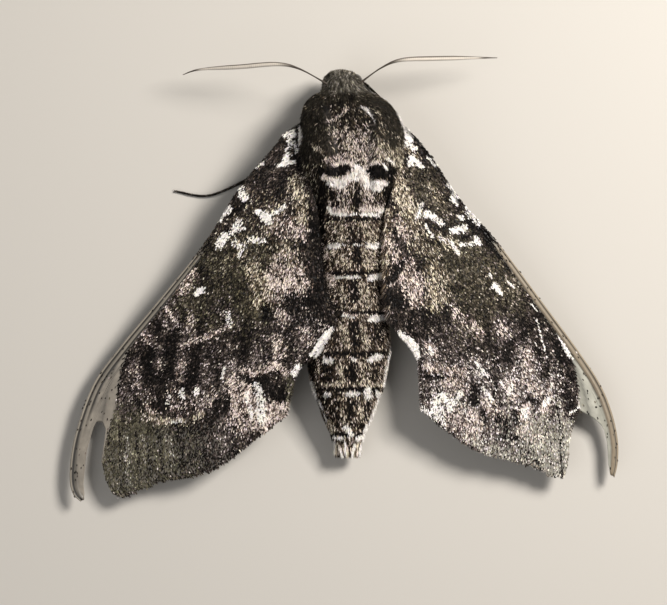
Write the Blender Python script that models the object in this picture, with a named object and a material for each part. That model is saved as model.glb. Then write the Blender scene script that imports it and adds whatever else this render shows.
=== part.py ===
"""A hawk moth at rest on a flat floor, life size, with its forewings spread as a low tent.

Frame: metres, +Z up, the head towards -Y and the moth's left side towards +X. The six feet stand on z = 0,
and the origin lies on the floor under the middle of the whole moth.
Sizes below are in millimetres in the moth's own axes: (out from the body's middle line, forward, up).
The whole moth is built facing +Y and then turned half round.
"""

import math

import bmesh
import bpy
from mathutils import Vector

MM = 0.001
GAP = 0.3  # clearance between neighbouring pieces

# The trunk, from the collar to the tail: (forward, half width, top, bottom)
TRUNK = (
    (26.5, 3.9, 9.8, 4.4),
    (25.2, 5.6, 11.0, 3.6),
    (22.6, 6.7, 12.2, 3.0),
    (18.6, 6.8, 12.7, 2.7),
    (14.0, 6.4, 12.1, 2.8),
    (9.4, 5.5, 10.2, 2.5),
    (4.0, 5.3, 9.5, 1.8),
    (-4.0, 5.7, 9.1, 1.4),
    (-10.6, 5.8, 8.4, 1.1),
    (-15.0, 4.8, 7.3, 1.0),
    (-19.6, 3.3, 5.8, 1.0),
    (-22.8, 2.1, 4.6, 1.2),
    (-25.4, 1.75, 3.6, 1.6),
)
WIDEST_LEVEL = 0.46  # where the trunk is widest, as a share of its height
RING_SIDES = 18
COLLAR_ENDS = (25.8, 24.5)
THORAX_ENDS = (24.5, 9.2)
ABDOMEN_JOINTS = (9.2, 4.8, 0.3, -5.3, -11.2, -16.3, -22.8)
TAIL_ENDS = (-22.8, -25.4)

# Both ends of the animal lean a little to its left: (from this far forward, to this far, by this much)
HEAD_LEAN = (20.8, 30.0, 1.55)
TAIL_LEAN = (4.0, -16.0, 0.55)

HEAD = (  # (forward, half width, top, bottom)
    (26.1, 2.6, 9.2, 4.6),
    (27.2, 2.65, 9.7, 4.5),
    (28.2, 2.4, 9.5, 4.8),
    (28.9, 2.1, 9.0, 5.4),
    (29.3, 1.3, 8.5, 6.0),
    (29.45, 0.5, 7.9, 6.7),
)
EYE_CENTRE = (1.83, 27.65, 6.3)
EYE_RADII = (1.1, 1.35, 1.5)
PALP = ((1.25, 26.6, 3.5), (1.35, 27.9, 3.3), (1.35, 28.8, 3.9), (1.15, 29.15, 5.0))
PALP_RADII = (0.45, 0.7, 0.6, 0.3)
COIL_CENTRE = (0.0, 27.9, 3.1)
COIL_INNER = 0.42
COIL_PITCH = 0.75
COIL_TURNS = 1.35
COIL_THICK = 0.5
COIL_STEPS = 16
COIL_END_ANGLE = math.radians(150)  # where its outer end meets the head
ANTENNA = {
    "left": (
        (3.5, 27.4, 8.7),
        (7.4, 29.5, 9.3),
        (10.6, 30.2, 9.0),
        (15.9, 29.9, 7.8),
        (21.6, 29.6, 6.2),
        (24.0, 28.9, 5.5),
    ),
    "right": (
        (1.2, 27.6, 8.7),
        (4.0, 29.7, 9.3),
        (6.8, 31.0, 9.2),
        (11.4, 31.4, 8.2),
        (17.0, 31.6, 6.4),
        (20.6, 31.4, 5.5),
    ),
}
ANTENNA_THICK = (0.62, 0.7, 0.5)  # root, middle, tip

# Shoulder pads over the wing roots, as a patch of the thorax's side.
TEGULA_ENDS = (24.4, 11.6)
TEGULA_ANGLE = 44.0  # degrees up from the side
TEGULA_SPREAD = 23.5  # to each side of that, where the pad is broadest
TEGULA_END_SPREAD = 0.6  # share of that at its ends
TEGULA_THICK = 1.15
TEGULA_EDGE = 0.45
TEGULA_CELLS = (9, 5)  # along, across

# Wings: (out, forward) along each edge. Left and right are held, and worn, a little differently.
WING_THICK = 0.5
WING_TIP_HEIGHT = 2.2
WING_RISE = 7.4  # from the tip's level to the body
WING_SPAN = 41.0
WING_CURVE = 1.15
WING_DROP = 0.4  # how far the wing comes down towards its outer edge
WING_DROP_LENGTH = 24.0
FORE_CELLS = (20, 11)  # from root to outer edge, from front to inner edge
HIND_CELLS = (9, 7)
FORE_FRONT = {
    "left": (
        (6.6, 22.3), (11.0, 18.5), (15.9, 12.8), (20.5, 5.5), (27.2, -2.8), (33.0, -9.7),
        (36.9, -15.1), (39.5, -22.3), (40.3, -27.6), (39.9, -30.6), (38.6, -31.9),
    ),
    "right": (
        (6.6, 22.3), (10.6, 18.0), (15.3, 11.1), (20.7, 5.0), (26.7, -2.9), (32.3, -10.4),
        (35.4, -15.1), (37.1, -19.2), (37.95, -23.2), (37.9, -26.4), (37.4, -28.5),
    ),
}
FORE_ROOT = ((6.6, 22.3), (6.65, 15.5), (5.4, 9.6))
FORE_INNER = {
    "left": (
        (5.4, 9.6), (4.7, 4.0), (3.9, -1.5), (2.9, -6.0), (4.6, -8.8), (6.2, -10.8), (8.4, -12.9),
        (8.9, -17.0), (9.5, -19.4),
    ),
    "right": (
        (5.4, 9.6), (5.3, 4.0), (5.1, -1.5), (4.7, -5.6), (7.4, -8.6), (9.2, -11.2), (9.5, -14.4),
        (9.7, -17.4), (9.9, -18.5),
    ),
}
FORE_OUTER = {
    "left": ((36.0, -31.9), (32.9, -31.4), (26.8, -29.0), (20.0, -27.4), (14.2, -23.2)),
    "right": ((34.6, -29.3), (30.6, -28.9), (25.4, -27.6), (18.8, -25.6), (13.4, -21.8)),
}
# Worn outer edge: (place from the tip at 0 to the inner corner at 1, share of the length that is left)
FORE_WEAR = {
    "left": (
        (0.0, 1.0), (0.025, 0.985), (0.045, 0.93), (0.055, 0.85), (0.075, 0.80), (0.105, 0.81),
        (0.12, 0.90), (0.135, 0.98), (0.2, 1.0), (1.0, 1.0),
    ),
    "right": (
        (0.0, 1.0), (0.025, 0.975), (0.04, 0.87), (0.055, 0.815), (0.12, 0.80), (0.165, 0.83),
        (0.2, 0.90), (0.235, 0.99), (0.26, 1.0), (0.31, 0.985), (0.36, 0.965), (0.45, 0.98), (1.0, 1.0),
    ),
}
HIND_FRONT = ((7.0, 13.6), (13.0, 9.6), (19.0, 3.2), (23.6, -3.0), (25.2, -8.4))
HIND_ROOT = ((7.0, 13.6), (6.6, 12.2), (6.3, 10.8))
HIND_INNER = ((6.3, 10.8), (6.3, 4.0), (6.1, -3.0), (6.2, -7.0), (7.5, -10.2), (9.4, -13.8))
HIND_OUTER = ((23.4, -12.6), (18.6, -15.6), (13.6, -15.9))
HIND_BELOW = 1.15  # how far the hindwing lies under the forewing

# Legs: hip, knee, ankle, a point along the foot, and the toe.
FORE_LEG = ((2.2, 19.5, 2.1), (6.4, 21.5, 3.0), (4.6, 25.2, 1.2), (2.9, 27.0, 0.45), (1.1, 28.7, 0.2))
MID_LEG_OUT = ((3.0, 17.0, 2.1), (9.0, 14.8, 4.2), (14.6, 14.3, 1.5), (20.4, 11.9, 0.45), (25.2, 12.5, 0.2))
MID_LEG_IN = ((3.0, 17.0, 2.1), (8.8, 12.8, 4.2), (13.4, 7.8, 1.5), (16.8, 4.6, 0.5), (20.2, 1.6, 0.2))
HIND_LEG = ((2.8, 12.4, 2.0), (8.4, 8.6, 4.1), (11.8, -0.6, 1.5), (13.8, -5.6, 0.5), (15.9, -10.8, 0.2))
LEG_POSES = {
    "fore": {"left": FORE_LEG, "right": FORE_LEG},
    "mid": {"left": MID_LEG_OUT, "right": MID_LEG_IN},
    "hind": {"left": HIND_LEG, "right": HIND_LEG},
}
FEMUR_RADII = (0.55, 0.8, 0.7, 0.38)
TIBIA_RADII = (0.36, 0.58, 0.54, 0.34)
TARSUS_RADII = (0.28, 0.34, 0.32, 0.27)
LEG_SIDES = 8
JOINT_GAP = 0.32  # how far each piece of a leg stops short of the joint
SOLE_LENGTH = 1.6  # flat under each toe

SIDES = {"left": -1, "right": 1}
CURVE_STEPS = 200  # how finely a smooth curve is measured
FINISHES = {
    "dark_scales": ((0.030, 0.026, 0.022), 0.85),
    "grey_scales": ((0.115, 0.100, 0.085), 0.85),
    "wing_scales": ((0.075, 0.064, 0.055), 0.8),
    "eye": ((0.020, 0.022, 0.018), 0.25),
    "antenna_scales": ((0.300, 0.260, 0.220), 0.7),
    "leg_scales": ((0.040, 0.034, 0.028), 0.8),
    "tongue": ((0.120, 0.070, 0.040), 0.5),
}


def clear_scene():
    for old in list(bpy.data.objects):
        bpy.data.objects.remove(old)


def finish_named(name):
    found = bpy.data.materials.get(name)
    if found:
        return found
    colour, roughness = FINISHES[name]
    made = bpy.data.materials.new(name)
    made.use_nodes = True
    shader = made.node_tree.nodes["Principled BSDF"]
    shader.inputs["Base Color"].default_value = (*colour, 1.0)
    shader.inputs["Roughness"].default_value = roughness
    return made


def add_object(name, mesh_maker, finish, parent):
    """Links a new object whose mesh is what mesh_maker(bm) builds in millimetres."""
    bm = bmesh.new()
    mesh_maker(bm)
    bmesh.ops.recalc_face_normals(bm, faces=bm.faces)
    bmesh.ops.scale(bm, vec=(MM, MM, MM), verts=bm.verts)
    mesh = bpy.data.meshes.new(name)
    bm.to_mesh(mesh)
    bm.free()
    mesh.shade_smooth()
    mesh.materials.append(finish_named(finish))
    made = bpy.data.objects.new(name, mesh)
    bpy.context.scene.collection.objects.link(made)
    made.parent = parent
    return made


def knot_curve(knots, t):
    """A smooth curve through knots of any size at t from 0 to 1, by Catmull-Rom spans of equal share."""
    spans = len(knots) - 1
    at = min(max(t, 0.0), 1.0) * spans
    i = min(int(at), spans - 1)
    f = at - i
    before = knots[max(i - 1, 0)]
    after = knots[min(i + 2, spans)]
    return [
        0.5 * (2 * b + (c - a) * f + (2 * a - 5 * b + 4 * c - d) * f * f + (3 * b - a - 3 * c + d) * f**3)
        for a, b, c, d in zip(before, knots[i], knots[i + 1], after)
    ]


def even_path(knots, steps):
    """steps + 1 points along the smooth curve through knots, the same distance apart."""
    fine = [Vector(knot_curve(knots, k / CURVE_STEPS)) for k in range(CURVE_STEPS + 1)]
    along = [0.0]
    for a, b in zip(fine, fine[1:]):
        along.append(along[-1] + (b - a).length)
    points, i = [], 0
    for k in range(steps + 1):
        want = along[-1] * k / steps
        while i < CURVE_STEPS - 1 and along[i + 1] < want:
            i += 1
        share = (want - along[i]) / max(along[i + 1] - along[i], 1e-9)
        points.append(fine[i].lerp(fine[i + 1], min(share, 1.0)))
    return points


def value_at(table, x):
    """Straight interpolation in a table of (x, value), sorted by x."""
    for (x0, a), (x1, b) in zip(table, table[1:]):
        if x <= x1:
            return a + (b - a) * (x - x0) / (x1 - x0)
    return table[-1][1]


def smooth_step(t):
    t = min(max(t, 0.0), 1.0)
    return t * t * (3 - 2 * t)


def leaned(point):
    """Where a point of the straight animal goes as its head and tail lean."""
    shift = 0.0
    for start, end, by in (HEAD_LEAN, TAIL_LEAN):
        shift += by * smooth_step((point[1] - start) / (end - start))
    return Vector((point[0] - shift, *point[1:]))


def section_of(stations, forward):
    """(half width, top, bottom) of a body at this distance forward."""
    for i, (a, b) in enumerate(zip(stations, stations[1:])):
        if forward >= b[0] or i == len(stations) - 2:
            share = (a[0] - forward) / (a[0] - b[0])
            return knot_curve([s[1:] for s in stations], (i + share) / (len(stations) - 1))


def section_point(stations, forward, angle, beyond=0.0):
    """A point of the body's skin. The angle runs up from the moth's right side, and beyond lifts it off."""
    half, top, bottom = section_of(stations, forward)
    level = bottom + (top - bottom) * WIDEST_LEVEL
    rise = (top - level) if math.sin(angle) > 0 else (level - bottom)
    across = (half + beyond) * math.cos(angle)
    return leaned((across, forward, level + (rise + beyond) * math.sin(angle)))


def loft(bm, rings):
    """Joins closed rings of points, and closes both ends."""
    loops = [[bm.verts.new(p) for p in ring] for ring in rings]
    count = len(loops[0])
    for a, b in zip(loops, loops[1:]):
        for k in range(count):
            bm.faces.new((a[k], a[(k + 1) % count], b[(k + 1) % count], b[k]))
    for end in (loops[0], loops[-1]):
        middle = bm.verts.new(sum((v.co for v in end), Vector()) / count)
        for k in range(count):
            bm.faces.new((middle, end[k], end[(k + 1) % count]))


def body_piece(stations, front, back, rings, flare=0.0):
    """A mesh maker for the stretch of a body from front to back. flare narrows its front edge."""

    def make(bm):
        made = []
        for k in range(rings):
            share = k / (rings - 1)
            forward = front + (back - front) * share
            tuck = -flare * (1 - share) ** 2
            made.append(
                [
                    section_point(stations, forward, 2 * math.pi * s / RING_SIDES, tuck)
                    for s in range(RING_SIDES)
                ]
            )
        loft(bm, made)

    return make


def tube(knots, radii, sides, steps, floor=None):
    """A mesh maker for a tapering round rod along a smooth curve. floor flattens what would go below it."""

    def make(bm):
        path = even_path(knots, steps)
        side = Vector((0, 0, 1))
        rings = []
        for k, point in enumerate(path):
            ahead = (path[min(k + 1, steps)] - path[max(k - 1, 0)]).normalized()
            side = (side - ahead * side.dot(ahead)).normalized()
            across = ahead.cross(side)
            radius = knot_curve([(r,) for r in radii], k / steps)[0]
            turn = math.pi / sides  # puts a flat facet underneath
            ring = []
            for s in range(sides):
                angle = turn + 2 * math.pi * s / sides
                place = point + radius * (side * math.cos(angle) + across * math.sin(angle))
                if floor is not None:
                    place.z = max(place.z, floor)
                ring.append(place)
            rings.append(ring)
        loft(bm, rings)

    return make


def mirrored(points, sign):
    return [(sign * p[0], *p[1:]) for p in points]


def shortened(start, end, at_start, at_end):
    """The stretch from start to end, less these lengths at its ends."""
    a, b = Vector(start), Vector(end)
    way = (b - a).normalized()
    return a + way * at_start, b - way * at_end


def wing_height(out, forward):
    """Top of the forewing over the floor: a low tent, lower towards the tips and the outer edge."""
    slope = 1 - (abs(out) / WING_SPAN) ** WING_CURVE
    drop = 1 - WING_DROP * smooth_step(-forward / WING_DROP_LENGTH)
    return WING_TIP_HEIGHT + WING_RISE * slope * drop


def wing_point(edges, u, v):
    """A place on the wing: u runs from root to outer edge, v from front edge to inner edge."""
    front, root, inner, outer = edges

    def read(path, t):
        at = t * (len(path) - 1)
        i = min(int(at), len(path) - 2)
        return path[i].lerp(path[i + 1], at - i)

    ruled = (1 - v) * read(front, u) + v * read(inner, u) + (1 - u) * read(root, v) + u * read(outer, v)
    corners = (
        (1 - u) * (1 - v) * front[0] + u * (1 - v) * front[-1] + (1 - u) * v * inner[0] + u * v * inner[-1]
    )
    return ruled - corners


def wing(front, root, inner, outer, sign, below, wear, cells):
    """A mesh maker for a wing blade of even thickness between four edge curves."""
    lengthwise, crosswise = cells
    curves = (front, root, inner, (front[-1], *outer, inner[-1]))
    edges = [even_path(curve, 2 * lengthwise) for curve in curves]
    tears = {round(v, 3) for v, _ in wear}
    spaced = {round(k / crosswise, 3) for k in range(crosswise + 1)}
    columns = sorted(tears | {s for s in spaced if all(abs(s - t) > 0.3 / crosswise for t in tears)})

    def make(bm):
        grid = []
        for v in columns:
            left_over = value_at(wear, v)
            column = []
            for k in range(lengthwise + 1):
                place = wing_point(edges, k / lengthwise * left_over, v)
                height = wing_height(place.x, place.y) - below
                column.append(bm.verts.new((sign * place.x, place.y, height)))
            grid.append(column)
        sheet = []
        for a, b in zip(grid, grid[1:]):
            for k in range(lengthwise):
                sheet.append(bm.faces.new((a[k], a[k + 1], b[k + 1], b[k])))
        lower = bmesh.ops.extrude_face_region(bm, geom=sheet, use_keep_orig=True)["geom"]
        moved = [v for v in lower if isinstance(v, bmesh.types.BMVert)]
        bmesh.ops.translate(bm, verts=moved, vec=(0, 0, -WING_THICK))

    return make


def tegula(sign):
    """A mesh maker for the shoulder pad that covers a wing's root."""
    lengthwise, crosswise = TEGULA_CELLS

    def ring(t):
        """Points of one cut across the pad: along its underside, then back over its top."""
        forward = TEGULA_ENDS[0] + (TEGULA_ENDS[1] - TEGULA_ENDS[0]) * t
        swell = math.sin(math.pi * (0.1 + 0.8 * t))
        spread = TEGULA_SPREAD * (TEGULA_END_SPREAD + (1 - TEGULA_END_SPREAD) * swell)
        under, over = [], []
        for j in range(crosswise + 1):
            s = 2 * j / crosswise - 1
            angle = math.radians(TEGULA_ANGLE + spread * s)
            if sign < 0:
                angle = math.pi - angle
            thick = TEGULA_EDGE + (TEGULA_THICK - TEGULA_EDGE) * (1 - s * s) * swell
            under.append(section_point(TRUNK, forward, angle, GAP))
            over.append(section_point(TRUNK, forward, angle, GAP + thick))
        return under + over[::-1]

    def make(bm):
        loft(bm, [ring(i / lengthwise) for i in range(lengthwise + 1)])

    return make


def ball(centre, radii, grow=0.0):
    def make(bm):
        bmesh.ops.create_uvsphere(bm, u_segments=14, v_segments=9, radius=1.0)
        bmesh.ops.scale(bm, vec=[r + grow for r in radii], verts=bm.verts)
        bmesh.ops.translate(bm, vec=centre, verts=bm.verts)

    return make


def coil_path():
    """The tongue rolled up in the middle plane, from its tip inside to where it meets the head."""
    points = []
    for k in range(COIL_STEPS + 1):
        turn = COIL_TURNS * k / COIL_STEPS
        radius = COIL_INNER + COIL_PITCH * turn
        angle = 2 * math.pi * (turn - COIL_TURNS) + COIL_END_ANGLE
        forward = COIL_CENTRE[1] + radius * math.cos(angle)
        points.append(leaned((COIL_CENTRE[0], forward, COIL_CENTRE[2] + radius * math.sin(angle))))
    return points


def build_head(moth):
    head = add_object("head", body_piece(HEAD, HEAD[0][0], HEAD[-1][0], 7), "dark_scales", moth)
    for side, sign in SIDES.items():
        centre = leaned((sign * EYE_CENTRE[0], *EYE_CENTRE[1:]))
        add_object(f"eye_{side}", ball(centre, EYE_RADII), "eye", moth)
        socket = add_object(f"socket_{side}", ball(centre, EYE_RADII, GAP), "eye", moth)
        socket.hide_render = True
        socket.display_type = "WIRE"
        cut = head.modifiers.new(f"socket_{side}", "BOOLEAN")
        cut.operation = "DIFFERENCE"
        cut.solver = "EXACT"
        cut.object = socket
        palp = [leaned(p) for p in mirrored(PALP, sign)]
        add_object(f"palp_{side}", tube(palp, PALP_RADII, 8, 7), "grey_scales", moth)
        feeler = mirrored(ANTENNA[side], sign)
        add_object(
            f"antenna_{side}", tube(feeler, [t / 2 for t in ANTENNA_THICK], 6, 18), "antenna_scales", moth
        )
    add_object("tongue", tube(coil_path(), (COIL_THICK / 2,) * 2, 6, 22), "tongue", moth)


def build_trunk(moth):
    half = GAP / 2
    add_object(
        "collar", body_piece(TRUNK, COLLAR_ENDS[0], COLLAR_ENDS[1] + half, 3), "grey_scales", moth
    )
    add_object(
        "thorax", body_piece(TRUNK, THORAX_ENDS[0] - half, THORAX_ENDS[1] + half, 9), "grey_scales", moth
    )
    for side, sign in SIDES.items():
        add_object(f"tegula_{side}", tegula(sign), "dark_scales", moth)
    for k, (front, back) in enumerate(zip(ABDOMEN_JOINTS, ABDOMEN_JOINTS[1:]), 1):
        add_object(
            f"abdomen_{k}", body_piece(TRUNK, front - half, back + half, 4, 0.18), "grey_scales", moth
        )
    add_object("tail_tuft", body_piece(TRUNK, TAIL_ENDS[0] - half, TAIL_ENDS[1], 3), "grey_scales", moth)


def build_wings(moth):
    whole = ((0.0, 1.0), (1.0, 1.0))
    for side, sign in SIDES.items():
        fore_edges = (FORE_FRONT[side], FORE_ROOT, FORE_INNER[side], FORE_OUTER[side])
        fore = wing(*fore_edges, sign, 0.0, FORE_WEAR[side], FORE_CELLS)
        add_object(f"forewing_{side}", fore, "wing_scales", moth)
        hind = wing(HIND_FRONT, HIND_ROOT, HIND_INNER, HIND_OUTER, sign, HIND_BELOW, whole, HIND_CELLS)
        add_object(f"hindwing_{side}", hind, "wing_scales", moth)


def build_legs(moth):
    for pair, poses in LEG_POSES.items():
        for side, points in poses.items():
            hip, knee, ankle, arch, toe = mirrored(points, SIDES[side])
            name = f"leg_{pair}_{side}"
            thigh = shortened(hip, knee, 0.0, JOINT_GAP)
            add_object(f"{name}_femur", tube(thigh, FEMUR_RADII, LEG_SIDES, 4), "leg_scales", moth)
            shin = shortened(knee, ankle, JOINT_GAP, JOINT_GAP)
            add_object(f"{name}_tibia", tube(shin, TIBIA_RADII, LEG_SIDES, 4), "leg_scales", moth)
            first = shortened(ankle, arch, JOINT_GAP, 0.0)[0]
            sole = shortened(arch, toe, 0.0, SOLE_LENGTH)[1]
            sole.z = toe[2]
            foot = (first, arch, sole, toe)
            add_object(
                f"{name}_tarsus", tube(foot, TARSUS_RADII, LEG_SIDES, 9, floor=0.0), "leg_scales", moth
            )


def face_front(moth):
    """Turns the moth to face -Y and moves it so that the origin is under the middle of its box."""
    moth.rotation_euler.z = math.pi
    bpy.context.view_layer.update()
    corners = [
        piece.matrix_world @ vertex.co
        for piece in bpy.context.scene.objects
        if piece.type == "MESH" and not piece.hide_render
        for vertex in piece.data.vertices
    ]
    for axis in (0, 1):
        low = min(c[axis] for c in corners)
        high = max(c[axis] for c in corners)
        moth.location[axis] = -(low + high) / 2


def main():
    clear_scene()
    moth = bpy.data.objects.new("moth", None)
    bpy.context.scene.collection.objects.link(moth)
    build_head(moth)
    build_trunk(moth)
    build_wings(moth)
    build_legs(moth)
    face_front(moth)


main()
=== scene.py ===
# A hawk moth at rest on a pale floor: one skin, and a membrane for each wing, under scales and hairs.
# Lengths are in millimetres in the moth's own axes (to its right, forward, up) until a mesh is made.

import math

import bpy
import numpy as np
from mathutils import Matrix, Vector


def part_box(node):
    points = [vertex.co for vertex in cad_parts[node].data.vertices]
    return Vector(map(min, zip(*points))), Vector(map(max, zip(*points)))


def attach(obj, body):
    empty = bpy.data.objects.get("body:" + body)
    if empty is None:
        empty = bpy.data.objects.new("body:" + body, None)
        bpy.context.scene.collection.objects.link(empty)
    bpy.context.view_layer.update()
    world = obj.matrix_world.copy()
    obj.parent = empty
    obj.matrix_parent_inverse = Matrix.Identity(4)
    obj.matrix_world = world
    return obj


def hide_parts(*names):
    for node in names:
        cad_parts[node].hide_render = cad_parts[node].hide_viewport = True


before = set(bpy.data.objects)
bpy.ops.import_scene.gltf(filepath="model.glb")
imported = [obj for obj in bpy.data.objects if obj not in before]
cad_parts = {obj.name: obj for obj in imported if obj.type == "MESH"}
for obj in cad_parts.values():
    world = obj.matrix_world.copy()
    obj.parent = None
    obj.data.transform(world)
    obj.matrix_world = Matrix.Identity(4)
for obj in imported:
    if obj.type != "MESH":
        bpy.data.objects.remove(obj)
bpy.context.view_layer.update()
print("frame loaded:", len(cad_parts), "nodes")

sides = {"left": -1, "right": 1}

# the thorax's box tells where the moth's own axes lie on the floor, where it faces -Y
thoraxFront = 24.35
thoraxLow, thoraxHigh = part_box("thorax")
mothPlace = np.array([(thoraxLow.x + thoraxHigh.x) / 2, thoraxLow.y + thoraxFront * 0.001, 0.0])
mothScale = np.array([-0.001, -0.001, 0.001])


def toFloor(points):
    return mothPlace + np.asarray(points, float) * mothScale


def ease(x):
    # from 0 to 1 with a soft start and a soft end
    x = np.clip(x, 0, 1)
    return x * x * (3 - 2 * x)


def between(x, low, high, soft):
    # 1 from low to high, fading over soft at both ends
    return ease((x - low) / soft + 0.5) * ease((high - x) / soft + 0.5)


def unit(vectors):
    return vectors / np.maximum(np.linalg.norm(vectors, axis=-1, keepdims=True), 1e-12)


hashBy = {"column": 127.1, "row": 311.7, "seed": 74.7, "scale": 43758.5453}  # any that scatter do


def blotch(x, y, size, seed):
    # smooth random patches of this size, from 0 to 1
    x, y = np.asarray(x) / size, np.asarray(y) / size
    column, row = np.floor(x), np.floor(y)
    fx, fy = ease(x - column), ease(y - row)

    def corner(i, j):
        mixed = (column + i) * hashBy["column"] + (row + j) * hashBy["row"] + seed * hashBy["seed"]
        mixed = np.sin(mixed) * hashBy["scale"]
        return mixed - np.floor(mixed)

    near = corner(0, 0) * (1 - fx) + corner(1, 0) * fx
    far = corner(0, 1) * (1 - fx) + corner(1, 1) * fx
    return near * (1 - fy) + far * fy


def spanPoints(knots, index, share):
    # Catmull-Rom points in the spans that start at these knots
    last = len(knots) - 1
    a, b, c, d = (knots[np.clip(index + k, 0, last)] for k in (-1, 0, 1, 2))
    f = share[:, None]
    return 0.5 * (2 * b + (c - a) * f + (2 * a - 5 * b + 4 * c - d) * f**2 + (3 * b - a - 3 * c + d) * f**3)


def curveAt(knots, t):
    # points of the smooth curve through the knots, t from 0 to 1
    knots = np.asarray(knots, float).reshape(len(knots), -1)
    at = np.clip(np.asarray(t, float), 0, 1) * (len(knots) - 1)
    index = np.minimum(at.astype(int), len(knots) - 2)
    return spanPoints(knots, index, at - index)


def evenCurve(knots, steps=200):
    # points at even distances along the smooth curve through the knots
    fine = curveAt(knots, np.linspace(0, 1, 10 * steps + 1))
    along = np.concatenate([[0], np.cumsum(np.linalg.norm(np.diff(fine, axis=0), axis=1))])
    want = np.linspace(0, along[-1], steps + 1)
    return np.stack([np.interp(want, along, fine[:, k]) for k in range(fine.shape[1])], 1)


def readCurve(path, t):
    # points of an even path, t from 0 to 1
    where = np.linspace(0, 1, len(path))
    return np.stack([np.interp(t, where, path[:, k]) for k in range(path.shape[1])], -1)


def tableAt(table, x):
    # table: (x, value) from the highest x down, as a body is written from head to tail
    xs, values = np.array(table).T
    return np.interp(x, xs[::-1], values[::-1])


def framesOn(place, a, b, step=2e-3):
    # point, direction along a, direction along b, and the normal between them
    a0, b0 = np.clip(a, 0, 1 - step), b
    here = place(a0, b0)
    alongA = unit(place(a0 + step, b0) - here)
    alongB = unit(place(a0, b0 + step) - here)
    normal = unit(np.cross(alongA, alongB))
    return place(a, b), alongA, alongB, normal


def newPile():
    # what one mesh is put together from
    return {"points": [], "faces": {3: [], 4: []}, "tint": [], "map": [], "count": 0}


def addToPile(pile, points, faces, tint, mapPoints):
    # faces: arrays of corner numbers, three or four to a row. mapPoints: places on the OFBake map
    for group in faces:
        pile["faces"][group.shape[1]].append(group + pile["count"])
    pile["points"].append(points)
    pile["tint"].append(tint)
    pile["map"].append(mapPoints)
    pile["count"] += len(points)


def pieceFrom(pile, name, finish, slot, replaces=()):
    points = toFloor(np.concatenate(pile["points"]))
    groups = [np.concatenate(rows) for rows in pile["faces"].values() if rows]
    corners = np.concatenate([g.ravel() for g in groups])
    sizes = np.concatenate([np.full(len(g), g.shape[1]) for g in groups])
    mesh = bpy.data.meshes.new(name)
    mesh.vertices.add(len(points))
    mesh.vertices.foreach_set("co", points.ravel())
    mesh.loops.add(len(corners))
    mesh.loops.foreach_set("vertex_index", corners)
    mesh.polygons.add(len(sizes))
    mesh.polygons.foreach_set("loop_start", np.concatenate([[0], np.cumsum(sizes)[:-1]]))
    mesh.polygons.foreach_set("use_smooth", np.ones(len(sizes), bool))
    mesh.update(calc_edges=True)
    tint = mesh.attributes.new("tint", "FLOAT_COLOR", "POINT")
    colours = np.ones((len(points), 4))
    colours[:, :3] = np.clip(np.concatenate(pile["tint"]), 0, 1)
    tint.data.foreach_set("color", colours.ravel())
    layer = mesh.uv_layers.new(name="OFBake")
    layer.data.foreach_set("uv", np.concatenate(pile["map"])[corners].ravel())
    mesh.materials.append(finish)
    piece = bpy.data.objects.new(name, mesh)
    bpy.context.scene.collection.objects.link(piece)
    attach(piece, "root")
    if replaces:
        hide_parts(*replaces)
    print("made", name, "with", int((sizes - 2).sum()), "triangles")
    return piece


def gridFaces(rows, columns, closed=False):
    # quads over a grid of points, row by row. closed joins the last column to the first
    i, j = np.meshgrid(np.arange(rows - 1), np.arange(columns if closed else columns - 1), indexing="ij")
    i, j = i.ravel(), j.ravel()
    k = (j + 1) % columns
    return np.stack([i * columns + j, (i + 1) * columns + j, (i + 1) * columns + k, i * columns + k], 1)


vaneCell = 0.0026  # how large a vane's patch is on the OFBake map

# rows of a vane from root to tip: (share of its length, half width, rise)
scaleRows = ((0.0, 0.0, 0.0), (0.42, 0.5, 0.75), (1.0, 0.36, 1.0))
hairRows = ((0.0, 0.5, 0.0), (0.5, 0.42, 0.72), (1.0, 0.0, 1.0))


def addVanes(pile, roots, along, across, normal, length, width, lift, rows, tint, cells, shade=(0.6, 1.1)):
    # thin leaves that stand on the roots and lie along the coat. shade: painted shade, the tint's factor from
    # the shaded root to the lit tip
    column, points, tints, maps = [], [], [], []
    length, width, lift = (np.broadcast_to(x, len(roots))[:, None] for x in (length, width, lift))
    for share, half, rise in rows:
        centre = roots + along * length * share + normal * lift * rise
        for way in ((-1, 1) if half else (0,)):
            points.append(centre + across * width * half * way)
            tints.append(tint * (shade[0] + (shade[1] - shade[0]) * share))
            maps.append(cells + vaneCell * np.array([0.5 * way, share - 0.5]))
        column.append(2 if half else 1)
    total = sum(column)
    first = np.arange(len(roots))[:, None] * total
    faces, at = [], 0
    for a, b in zip(column, column[1:]):
        if a == 2 and b == 2:
            faces.append(first + np.array([at, at + 1, at + 3, at + 2]))
        elif a == 1:
            faces.append(first + np.array([at, at + 2, at + 1]))
        else:
            faces.append(first + np.array([at, at + 1, at + 2]))
        at += a
    stack = np.stack(points, 1).reshape(-1, 3)
    addToPile(pile, stack, faces, np.stack(tints, 1).reshape(-1, 3), np.stack(maps, 1).reshape(-1, 2))


def sway(vectors, sideways, dice, spread):
    # turns each direction a little, at random, towards either side
    turn = dice.normal(0, spread, len(vectors))[:, None]
    return unit(vectors + sideways * turn)


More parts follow.
